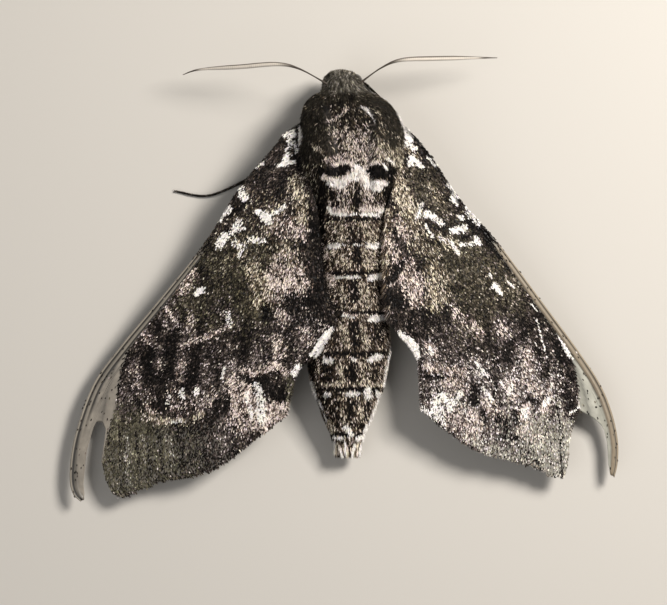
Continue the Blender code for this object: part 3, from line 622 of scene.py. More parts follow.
# each edge's points are (out, forward). wear: (place across, from the front edge, how much is left along)
# below: how far under the forewing. rim: how far the thick veins of the front edge stand up
foreEdges = {
    "left": {
        "front": (
            (6.6, 22.3), (9.4, 20.5), (11.3, 18.2), (15.9, 12.8), (20.5, 5.5), (27.2, -2.8), (33.0, -9.7),
            (36.9, -15.1), (39.5, -22.3), (40.3, -27.6), (39.9, -30.6), (38.6, -31.9),
        ),
        "root": ((6.6, 22.3), (6.2, 15.5), (4.9, 9.6)),
        "inner": (
            (4.9, 9.6), (4.5, 4.0), (3.7, -1.5), (2.5, -5.8), (3.9, -8.6), (5.5, -11.0), (7.8, -12.9),
            (8.9, -17.0), (9.5, -19.4),
        ),
        "outer": (
            (38.6, -31.9), (36.0, -31.9), (32.9, -31.4), (26.8, -29.0), (20.0, -27.4), (14.2, -23.2),
            (9.5, -19.4),
        ),
        "wear": (
            (0.0, 1.0), (0.03, 0.99), (0.055, 0.97), (0.06, 0.90), (0.066, 0.83), (0.071, 0.812),
            (0.10, 0.812), (0.125, 0.832), (0.130, 0.90), (0.155, 0.95), (0.17, 0.985), (0.19, 1.0),
            (1.0, 1.0),
        ),
        "below": 0.0,
        "rim": 0.16,
    },
    "right": {
        "front": (
            (6.6, 22.3), (10.6, 18.0), (15.3, 11.1), (20.7, 5.0), (26.7, -2.9), (32.3, -10.4),
            (35.4, -15.1), (37.1, -19.2), (37.95, -23.2), (37.9, -26.4), (37.4, -28.5),
        ),
        "root": ((6.6, 22.3), (6.2, 15.5), (4.8, 9.6)),
        "inner": (
            (4.8, 9.6), (4.7, 4.0), (4.8, -1.5), (5.2, -5.0), (6.6, -7.6), (8.2, -9.2), (9.3, -11.4),
            (9.6, -14.4), (9.8, -18.5),
        ),
        "outer": (
            (37.4, -28.5), (34.6, -29.3), (30.6, -28.9), (25.4, -27.6), (18.8, -25.6), (13.4, -21.8),
            (9.9, -18.5),
        ),
        "wear": (
            (0.0, 1.0), (0.03, 0.985), (0.046, 0.96), (0.052, 0.90), (0.058, 0.868), (0.088, 0.843),
            (0.138, 0.82), (0.158, 0.826), (0.193, 0.85), (0.215, 0.88), (0.233, 0.915), (0.24, 0.975),
            (0.25, 1.0), (0.37, 0.99), (0.45, 0.98), (1.0, 1.0),
        ),
        "below": 0.0,
        "rim": 0.16,
    },
}
hindEdges = {
    side: {
        "front": ((7.0, 13.6), (13.0, 9.6), (19.0, 3.2), (23.6, -3.0), (25.2, -8.4)),
        "root": ((7.0, 13.6), (6.6, 12.2), (6.3, 10.8)),
        "inner": ((6.3, 10.8), (6.3, 4.0), (6.3, -3.0), (7.2, -6.6), (9.0, -9.8), (10.6, -13.2)),
        "outer": ((25.2, -8.4), (23.4, -12.6), (18.6, -15.6), (14.2, -15.6), (10.6, -13.2)),
        "wear": ((0.0, 1.0), (1.0, 1.0)),
        "below": 1.15,
        "rim": 0.0,
    }
    for side in sides
}

veins = {
    "places": (0.03, 0.12, 0.26, 0.38, 0.50, 0.62, 0.74, 0.86, 0.99, 1.14),
    "width": 0.05,
    "fan": 1.2,
    "bend": 2.4,
}


def veinPlace(u, v):
    # the same number all along one vein: they leave the front edge and bend out to the margin
    return v + veins["fan"] * np.clip(1 - u, 0, 1) ** veins["bend"]


def veinNear(u, v):
    # 1 on a vein, fading to 0 beside it
    distance = np.min([np.abs(veinPlace(u, v) - place) for place in veins["places"]], axis=0)
    return np.clip(1 - distance / veins["width"], 0, 1)


def wingPlace(edges, sign):
    # a function from (u: root to margin, v: front to inner edge) to a point of the wing's middle sheet
    front, root, inner, outer = (evenCurve(edges[k]) for k in ("front", "root", "inner", "outer"))

    def place(u, v):
        a, b = np.asarray(u, float)[:, None], np.asarray(v, float)[:, None]
        ruled = (1 - b) * readCurve(front, u) + b * readCurve(inner, u)
        ruled = ruled + (1 - a) * readCurve(root, v) + a * readCurve(outer, v)
        corners = (1 - a) * ((1 - b) * front[0] + b * inner[0]) + a * ((1 - b) * front[-1] + b * inner[-1])
        out, forward = (ruled - corners).T
        slope = 1 - (np.abs(out) / wingShape["span"]) ** wingShape["curve"]
        drop = 1 - wingShape["drop"] * ease(-forward / wingShape["dropLength"])
        up = wingShape["tipHeight"] + wingShape["rise"] * slope * drop - edges["below"] - wingShape["depth"]
        start, over = wingShape["ridgeFrom"]
        up = up + wingShape["ridge"] * (veinNear(u, v) - 0.5) * ease((u - start) / over)
        waveHeight, waveLength = wingShape["wave"]
        up = up + waveHeight * (blotch(out, forward, waveLength, 3) - 0.5)
        rimPlaces = wingShape["rimVeins"]
        rim = sum(high * np.exp(-(((v - at) / wingShape["rimWidth"]) ** 2)) for at, high in rimPlaces)
        up = up + edges["rim"] * rim
        return np.stack([sign * out, forward, up], 1)

    return place


nicks = {"small": 90, "large": 23}  # how many along a margin


def wornLength(edges, v, ragged):
    # how far along the wing its torn margin lies
    worn = np.interp(v, *np.array(edges["wear"]).T)
    torn = blotch(v * nicks["small"], v * 0, 1.0, 11) * blotch(v * nicks["large"], v * 0, 1.0, 5)
    return worn * (1 - ragged * torn)


def wingSheet(name, place, edges, tintAt, ragged, slot, replaces, cells):
    # the membrane: two faces and an edge all round
    rows, columns = cells
    crossing = np.linspace(0, 1, columns) ** 1.5  # finer at the front
    u, v = np.meshgrid(np.linspace(0, 1, rows), crossing, indexing="ij")
    v = v.ravel()
    u = u.ravel() * wornLength(edges, v, ragged)
    middle = place(u, v)
    half = np.array([0, 0, wingShape["membrane"] / 2])
    quads = gridFaces(rows, columns)
    count = rows * columns
    # the rim, once round the grid
    index = np.arange(count).reshape(rows, columns)
    rim = np.concatenate([index[:-1, 0], index[-1, :-1], index[:0:-1, -1], index[0, :0:-1]])
    ahead = np.roll(rim, -1)
    wall = np.stack([rim, ahead, ahead + count, rim + count], 1)
    pile = newPile()
    upper, lower = tintAt(middle, u, v, False), tintAt(middle, u, v, True)
    mapPoints = np.stack([v, u], 1) * 0.98 + 0.01
    if middle[count // 2, 0] < 0:  # the left wing is turned inside out by its mirror
        quads, wall = quads[:, ::-1], wall[:, ::-1]
    faces = [quads[:, ::-1], quads + count, wall]
    both = np.concatenate([middle + half, middle - half])
    addToPile(pile, both, faces, np.concatenate([upper, lower]), np.concatenate([mapPoints, mapPoints]))
    return pieceFrom(pile, name, finishes["membrane"], slot, replaces)


scaleVariety = {
    "shift": (0.45, 0.4),  # of a gap, along and across the wing
    "length": (0.75, 1.3),
    "width": (0.75, 1.2),
    "lift": (0.5, 1.8),
    "lean": 0.18,
    "sink": 0.01,  # roots lie this deep in the membrane
    "seen": 0.6,  # how far along a scale its kind is read
    "margin": 0.004,  # bare at the very edge
}


def wingScales(name, place, edges, kindsAt, bare, coat, under, seed, slot):
    # overlapping scales in rows across the wing, thinned where the rows crowd
    dice = np.random.default_rng(seed)
    rows = int(coat["reach"] / coat["rowGap"])
    columns = int(coat["breadth"] / coat["gap"])
    u, v = np.meshgrid((np.arange(rows) + 0.5) / rows, (np.arange(columns) + 0.5) / columns, indexing="ij")
    u, v = u.ravel(), v.ravel()
    v = v + (np.repeat(np.arange(rows) % 2, columns) - 0.5) * 0.5 / columns
    shiftAlong, shiftAcross = scaleVariety["shift"]
    u = np.clip(u + dice.uniform(-shiftAlong, shiftAlong, len(u)) / rows, 0, 1)
    v = np.clip(v + dice.uniform(-shiftAcross, shiftAcross, len(v)) / columns, 0, 1)
    step = 1e-2
    near, far = np.clip(u - step, 0, 1), np.clip(u + step, 0, 1)
    area = np.linalg.norm(place(far, v) - place(near, v), axis=1) / (far - near)
    near, far = np.clip(v - step, 0, 1), np.clip(v + step, 0, 1)
    area = area * np.linalg.norm(place(u, far) - place(u, near), axis=1) / (far - near)
    keep = dice.random(len(u)) < area / (coat["reach"] * coat["breadth"])
    worn = wornLength(edges, v, coat["ragged"])
    keep &= (u < worn - scaleVariety["margin"]) & (dice.random(len(u)) > bare(u, v))
    u, v = u[keep], v[keep]
    roots, along, across, normal = framesOn(place, u, v)
    normal = normal * np.where(normal[:, 2:] > 0, 1.0, -1.0) * (-1.0 if under else 1.0)
    roots = roots + normal * (wingShape["membrane"] / 2 - scaleVariety["sink"])
    lie = sway(along, across, dice, coat["sway"])
    seen = roots + lie * coat["length"] * scaleVariety["seen"]
    kinds = kindsAt(seen, u, v, dice)
    tint = tintOf(kinds, dice, mottle(seen[:, 0], seen[:, 1]))
    longer, wider = shapeOf(kinds)
    long = coat["length"] * longer * dice.uniform(*scaleVariety["length"], len(u))
    wide = coat["width"] * wider * dice.uniform(*scaleVariety["width"], len(u))
    lift = coat["lift"] * dice.uniform(*scaleVariety["lift"], len(u))
    flat = unit(np.cross(lie, normal) + normal * dice.normal(0, scaleVariety["lean"], len(u))[:, None])
    cells = np.stack([v, u], 1) * 0.98 + 0.01
    pile = newPile()
    addVanes(pile, roots, lie, flat, normal, long, wide, lift, scaleRows, tint, cells)
    return pieceFrom(pile, name, finishes["scales"], slot)


# spans are (from, to, how soft): reach along the wing, breadth across it
# paler and darker streaks between the outer veins: partly the wing's own marks, partly painted light and
# shade of the folds
foreStreaks = {
    "step": 0.12,  # from one streak to the next
    "start": 1.0,
    "ragged": 1.6,
    "patches": (9, 40),
    "reach": (0.46, 0.78, 0.14),
    "breadth": (0.08, 1.2, 0.1),
    "darker": 0.6,
    "paler": 0.5,
    "olive": 0.5,
    "oliveReach": (0.26, 0.5, 0.1),
    "oliveBreadth": (0.1, 0.6, 0.2),
}


def foreGround(plain, u, v, dice):
    # plain dark scales, paler and darker in streaks between the outer veins: partly the wing's own streaks,
    # partly painted light and shade of its folds along the veins
    line, (patchesAlong, patchesAcross) = veinPlace(u, v), foreStreaks["patches"]
    streak = np.cos(line * 2 * math.pi / foreStreaks["step"] + foreStreaks["start"])
    streak = streak + foreStreaks["ragged"] * (blotch(u * patchesAlong, line * patchesAcross, 1.0, 31) - 0.5)
    outer = between(u, *foreStreaks["reach"]) * between(v, *foreStreaks["breadth"])
    darker = dice.random(len(u)) < outer * foreStreaks["darker"] * ease(streak)
    paler = dice.random(len(u)) < outer * foreStreaks["paler"] * ease(-streak)
    kinds = np.full(len(u), kindNames.index(plain))
    olive = between(u, *foreStreaks["oliveReach"]) * between(v, *foreStreaks["oliveBreadth"])
    kinds[dice.random(len(u)) < foreStreaks["olive"] * olive] = kindNames.index("olive")
    kinds[paler] = kindNames.index("mauve")
    kinds[darker] = kindNames.index("dark")
    return kinds


# where the scales have come off: the front rim and the torn tip.
# stripes run along the rim: (from v, to v, how pale beside the rim's own colour)
foreWorn = {
    "left": {
        "plain": "umber",
        "tip": (0.58, 0.22, 0.11),  # where along the wing it starts, over how far it widens, how wide
        "thin": (0.84, 0.75, 0.45),  # where along the wing it starts, how far across it goes, how much
        # bare: the membrane's own colour, made darker on this wing with painted shade, the dark beneath it
        # showing through
        "bare": (0.250, 0.220, 0.180),
        "rim": (0.21, 0.185, 0.150),
        "stripes": ((0.0, 0.009, 1.4), (0.009, 0.018, 0.10), (0.018, 0.029, 1.0), (0.029, 0.041, 0.10)),
    },
    "right": {
        "plain": "umber",
        "tip": (0.62, 0.24, 0.125),
        "thin": (0.84, 0.60, 0.50),
        "bare": (0.350, 0.340, 0.285),
        "rim": (0.20, 0.160, 0.110),
        "stripes": ((0.0, 0.008, 1.2), (0.008, 0.013, 0.30), (0.013, 0.034, 1.0), (0.034, 0.041, 0.25)),
    },
}
bareRim = {"from": 0.33, "over": 0.06, "width": 0.042, "soft": 0.006}
bareTip = {"least": 0.03, "soft": 0.02, "over": 0.06}
bareThin = {"to": 1.3, "soft": 0.14, "front": 0.05, "frontSoft": 0.2}
mostBare = 0.985


def foreBare(side):
    worn = foreWorn[side]

    def bare(u, v):
        outward = ease((u - bareRim["from"]) / bareRim["over"])
        rim = outward * ease((bareRim["width"] - v) / bareRim["soft"] + 0.5)
        start, reach, width = worn["tip"]
        tip = ease((bareTip["least"] + width * ease((u - start) / reach) - v) / bareTip["soft"] + 0.5)
        tip = tip * ease((u - start) / bareTip["over"])
        start, reach, strength = worn["thin"]
        thin = strength * between(u, start, bareThin["to"], bareThin["soft"])
        thin = thin * between(v, bareThin["front"], reach, bareThin["frontSoft"])
        return np.clip(np.maximum(np.maximum(rim, tip), thin), 0, mostBare)

    return bare


bareSkin = {
    "shade": (0.75, 0.5),  # the darkest, and how much paler the patches get
    "scale": (60, 26),
    "patches": ((0.35, 81), (1.2, 82)),  # (size, seed)
    "vein": (0.4, 6),  # how dark on a vein, how sharp
    "hook": (0.76, 0.1),  # past here the inner stripes fade
    "hookFade": 0.9,
    "innerStripes": 0.015,
    "stripeSoft": 0.003,
    "under": 0.8,
}


def foreMembrane(side):
    bare, worn = foreBare(side), foreWorn[side]

    def tintAt(points, u, v, under):
        dice = np.random.default_rng(30)
        kinds = underKinds(points, u, v, dice) if under else foreKinds(side)(points, u, v, dice)
        darkest, paler = bareSkin["shade"]
        alongBy, acrossBy = bareSkin["scale"]
        (small, smallSeed), (large, largeSeed) = bareSkin["patches"]
        spots = paler * blotch(u * alongBy, v * acrossBy, small, smallSeed)
        shade = darkest + spots * blotch(u * alongBy, v * acrossBy, large, largeSeed)
        shown = np.array(worn["bare"]) * shade[:, None]
        veinDark, veinSharp = bareSkin["vein"]
        shown = mixInks(shown, shown * veinDark, veinNear(u, v) ** veinSharp)
        hookStart, hookOver = bareSkin["hook"]
        onHook = ease((u - hookStart) / hookOver)
        outward = ease((u - bareRim["from"]) / bareRim["over"])
        for start, end, light in worn["stripes"]:
            stripe = between(v, start, end, bareSkin["stripeSoft"]) * outward
            stripe = stripe * (1 - bareSkin["hookFade"] * onHook * (start > bareSkin["innerStripes"]))
            shown = mixInks(shown, np.array(worn["rim"]) * light, stripe)
        return mixInks(underCoatInk(kinds), shown, bare(u, v)) * (bareSkin["under"] if under else 1.0)

    return tintAt


foreCoat = {
    "reach": 62.0,
    "breadth": 33.0,
    "rowGap": 0.19,
    "gap": 0.09,
    "length": 0.34,
    "width": 0.155,
    "lift": 0.055,
    "sway": 0.16,
    "ragged": 0.012,
}
underCoat = dict(foreCoat, rowGap=0.27, gap=0.19, length=0.52, width=0.25)
hindCoat = {
    "reach": 30.0,
    "breadth": 20.0,
    "rowGap": 0.24,
    "gap": 0.16,
    "length": 0.46,
    "width": 0.22,
    "lift": 0.05,
    "sway": 0.16,
    "ragged": 0.01,
}


def foreKinds(side):
    def kindsAt(points, u, v, dice):
        ground = foreGround(foreWorn[side]["plain"], u, v, dice)
        return pickKinds(foreMarks[side], np.abs(points[:, 0]), points[:, 1], ground, dice)

    return kindsAt


# bands are (from, to, how soft) along the wing
bandWave = (0.02, 40)  # how far the bands bend, how often
underBands = {"line": (0.60, 0.65, 0.03), "linePale": 0.5, "margin": (0.72, 0.1), "marginPale": 0.35}


def bandLine(u, v):
    return u + bandWave[0] * np.sin(v * bandWave[1])


def underKinds(points, u, v, dice):
    # brownish grey with a paler wavy line, and paler towards the margin
    kinds = np.full(len(u), kindNames.index("brown"))
    start, over = underBands["margin"]
    pale = between(bandLine(u, v), *underBands["line"]) * underBands["linePale"]
    pale = pale + underBands["marginPale"] * ease((u - start) / over)
    kinds[dice.random(len(u)) < pale] = kindNames.index("grey")
    return kinds


hindBands = {
    "bands": ((0.75, (0.42, 0.52, 0.05)), (0.6, (0.68, 0.76, 0.05))),  # (how pale, band)
    "corner": (0.5, (0.75, 0.2), (0.6, 0.3)),  # (how pale, from and over across, from and over along)
    "ground": 0.35,
}


def hindKinds(points, u, v, dice):
    # blackish, with two wavy paler bands and a pale inner corner
    line = bandLine(u, v)
    pale = sum(strength * between(line, *band) for strength, band in hindBands["bands"])
    strength, (across, acrossOver), (along, alongOver) = hindBands["corner"]
    pale = pale + strength * ease((v - across) / acrossOver) * ease((along - u) / alongOver)
    kinds = np.full(len(u), kindNames.index("dark"))
    kinds[dice.random(len(u)) < hindBands["ground"]] = kindNames.index("ground")
    kinds[dice.random(len(u)) < pale] = kindNames.index("grey")
    return kinds


def hindMembrane(points, u, v, under):
    dice = np.random.default_rng(31)
    return underCoatInk(underKinds(points, u, v, dice) if under else hindKinds(points, u, v, dice))


def wingFringe(name, place, edges, kindsAt, fringe, seed, slot):
    # hairs that stand out past the margin and the inner edge
    dice = np.random.default_rng(seed)
    pile = newPile()
    for edge in ("margin", "inner"):
        count, layers = fringe[edge], fringe["layers"]
        t = (np.repeat(np.arange(count), layers) + dice.uniform(0, 1, count * layers)) / count
        white, base = 0 * t, 0 * t
        if edge == "margin":
            inside, deeper = fringe["marginRoots"]
            v = fringe["from"] + (1 - fringe["from"]) * t
            u = wornLength(edges, v, fringe["ragged"]) - inside - deeper * dice.random(len(v))
        else:
            u, v = t, 1 - fringe["innerRoots"] * dice.random(len(t))
            patches = blotch(u * 60, u * 0, fringe["whitePatch"], 61) ** fringe["whiteEven"]
            white = between(u, *fringe["whiteSpan"], fringe["whiteSoft"]) * patches
            base = between(u, *fringe["baseSpan"])
        roots, along, across, normal = framesOn(place, np.clip(u, 0, 1), v)
        across = unit(place(u, v) - place(u, v - 0.02))
        out = along if edge == "margin" else unit(across * fringe["across"] + along * fringe["along"])
        kinds = kindsAt(roots, u, v, dice)
        kinds[dice.random(len(u)) < white] = kindNames.index("white")
        grown = 1 + fringe["whiteGrowth"] * white + fringe["baseGrowth"] * base
        long = fringe["length"] * dice.uniform(*fringe["variety"], len(u)) * grown
        side = unit(np.cross(out, normal))
        lie = sway(out, side, dice, fringe["sway"])
        flat = unit(np.cross(lie, normal))
        up = normal * np.sign(normal[:, 2:])
        cells = np.stack([v, u], 1) * 0.98 + 0.01
        lift = dice.uniform(*fringe["lift"], len(u))
        tint = tintOf(kinds, dice)
        addVanes(pile, roots, lie, flat, up, long, fringe["width"], lift, hairRows, tint, cells)
    return pieceFrom(pile, name, finishes["hair"], slot)


foreFringe = {
    "margin": 330,
    "inner": 420,
    "layers": 4,
    "from": 0.15,
    "ragged": 0.012,
    "marginRoots": (0.003, 0.008),
    "innerRoots": 0.012,
    "across": 0.8,
    "along": 0.9,
    "length": 0.50,
    "variety": (0.6, 1.2),
    "width": 0.09,
    "lift": (-0.08, 0.14),
    "sway": 0.2,
    "whiteSpan": (0.56, 0.67),
    "whiteSoft": 0.04,
    "whitePatch": 1.6,
    "whiteEven": 0.3,
    "whiteGrowth": 0.7,
    "baseSpan": (0.05, 0.52, 0.08),  # beside the abdomen
    "baseGrowth": 0.5,
}
foreFringes = {
    "left": foreFringe,
    "right": dict(foreFringe, whiteSpan=(0.60, 0.73), whiteGrowth=0.3, baseGrowth=1.5),
}
hindFringe = dict(foreFringe, margin=160, inner=240, layers=3, ragged=0.01, whiteSpan=(0.6, 0.95))
foreCells, hindCells = (150, 110), (60, 44)  # of the membranes, along and across


def noBare(u, v):
    return np.zeros(len(u))


def buildForewing(side, sign):
    edges, slot = foreEdges[side], "forewing_scales"
    kinds, bare, place = foreKinds(side), foreBare(side), wingPlace(edges, sign)
    wingSheet("foreMembrane_" + side, place, edges, foreMembrane(side), foreCoat["ragged"], slot,
              ("forewing_" + side,), foreCells)
    wingScales("foreScales_" + side, place, edges, kinds, bare, foreCoat, False, 100 + sign, slot)
    wingScales("foreUnder_" + side, place, edges, underKinds, bare, underCoat, True, 200 + sign, slot)
    wingFringe("foreFringe_" + side, place, edges, kinds, foreFringes[side], 700 + sign, slot)


def buildHindwing(side, sign):
    edges, slot = hindEdges[side], "hindwing_scales"
    place = wingPlace(edges, sign)
    wingSheet("hindMembrane_" + side, place, edges, hindMembrane, hindCoat["ragged"], slot,
              ("hindwing_" + side,), hindCells)
    wingScales("hindScales_" + side, place, edges, hindKinds, noBare, hindCoat, False, 300 + sign, slot)
    wingScales("hindUnder_" + side, place, edges, underKinds, noBare, hindCoat, True, 400 + sign, slot)
    wingFringe("hindFringe_" + side, place, edges, hindKinds, hindFringe, 800 + sign, slot)


print("wings")
for side, sign in sides.items():
    buildForewing(side, sign)
    buildHindwing(side, sign)


# (forward, half width, top, bottom) of the straight body, out to the tips of its coat
bodyStations = np.array([
    (29.45, 0.22, 7.5, 7.1),
    (29.3, 1.25, 8.5, 6.0),
    (28.9, 2.1, 9.0, 5.4),
    (28.2, 2.5, 9.5, 4.8),
    (27.2, 2.8, 9.7, 4.5),
    (26.4, 3.4, 9.9, 4.2),
    (25.8, 4.8, 10.5, 3.9),
    (24.9, 6.0, 11.1, 3.6),
    (24.0, 6.7, 11.7, 3.3),
    (22.6, 7.1, 12.2, 3.0),
    (18.6, 7.0, 12.7, 2.7),
    (14.0, 6.4, 12.1, 2.8),
    (9.4, 5.5, 10.2, 2.5),
    (4.0, 5.3, 9.5, 1.8),
    (-4.0, 5.7, 9.1, 1.4),
    (-10.6, 6.1, 8.4, 1.1),
    (-15.0, 5.35, 7.3, 1.0),
    (-19.6, 3.8, 5.8, 1.0),
    (-22.8, 2.35, 4.6, 1.2),
    (-24.6, 2.1, 3.9, 1.5),
    (-24.75, 1.2, 3.3, 2.1),
    (-24.8, 0.2, 2.8, 2.6),
])
body = {
    "front": 29.43,
    "back": -24.79,
    "rows": 260,
    "columns": 64,
    "widest": 0.46,
    "headLean": (20.0, 30.0, 1.55),
    "tailLean": (4.0, -14.0, 0.62),
    "joints": (9.2, 4.8, 0.3, -5.3, -11.2, -16.3, -22.8),
    "ringSwell": (0.22, 0.4),  # how far the back of each ring stands over its front
    "markShift": ((25, 0.55), (9, 0.22), (-3, 0.0), (-25, -0.15)),  # how far behind its place a mark lies
    "coatDepth": ((30, 0.20), (26, 0.28), (24, 0.42), (12, 0.45), (8, 0.32), (-20, 0.28), (-25, 0.25)),
    "pad": {
        "ends": (25.0, 11.6),
        "angle": 42.0,
        "spread": 26.0,
        "rise": 1.25,
        "blunt": 0.6,
        "narrowing": (0.55, 0.45),
        "edge": (1.15, 0.35),
    },
}


def sectionAt(forward):
    # half width, top and bottom here
    stations = bodyStations
    index = np.clip(np.searchsorted(-stations[:, 0], -forward, side="right") - 1, 0, len(stations) - 2)
    share = (stations[index, 0] - forward) / (stations[index, 0] - stations[index + 1, 0])
    return spanPoints(stations[:, 1:], index, np.clip(share, 0, 1)).T


def leanAt(forward):
    # how far the head and the tail bend to the left here
    shift = np.zeros(len(forward))
    for start, end, by in (body["headLean"], body["tailLean"]):
        shift += by * ease((forward - start) / (end - start))
    return shift


def padShare(forward, angle):
    # 1 on the middle of a shoulder pad, 0 off it
    pad = body["pad"]
    along = (pad["ends"][0] - forward) / (pad["ends"][0] - pad["ends"][1])
    swell = np.sin(np.pi * np.clip(along, 0, 1)) ** pad["blunt"]
    degrees = np.degrees(np.arctan2(np.sin(angle), np.abs(np.cos(angle))))
    least, more = pad["narrowing"]
    across = (degrees - pad["angle"]) / (pad["spread"] * (least + more * swell))
    edge, soft = pad["edge"]
    return swell * ease((edge - np.abs(across)) / soft)


def ringStep(forward):
    # 0 at the front edge of each ring of the abdomen, growing to 1 at its back edge
    joints = np.array(body["joints"][::-1])
    index = np.clip(np.searchsorted(joints, forward) - 1, 0, len(joints) - 2)
    share = 1 - (forward - joints[index]) / (joints[index + 1] - joints[index])
    return np.clip(share, 0, 1) * (forward < joints[-1]) * (forward > joints[0])


def bodyAt(forward, angle):
    half, top, bottom = sectionAt(forward)
    level = bottom + (top - bottom) * body["widest"]
    lift = -tableAt(body["coatDepth"], forward)
    lift = lift + body["pad"]["rise"] * padShare(forward, angle)
    swell, middle = body["ringSwell"]
    lift = lift + swell * (ringStep(forward) ** 2 - middle) * (forward < body["joints"][0])
    rise = np.where(np.sin(angle) > 0, top - level, level - bottom)
    x = np.maximum(half + lift, 0.05) * np.cos(angle)
    z = level + np.maximum(rise + lift, 0.05) * np.sin(angle)
    return np.stack([x - leanAt(forward), forward, z], 1)


def bodyPlace(t, turn):
    # t: 0 at the face, 1 at the tail. turn: once round from the right side up over the back
    forward = body["front"] + (body["back"] - body["front"]) * np.clip(t, 0, 1)
    return bodyAt(forward, 2 * math.pi * turn)


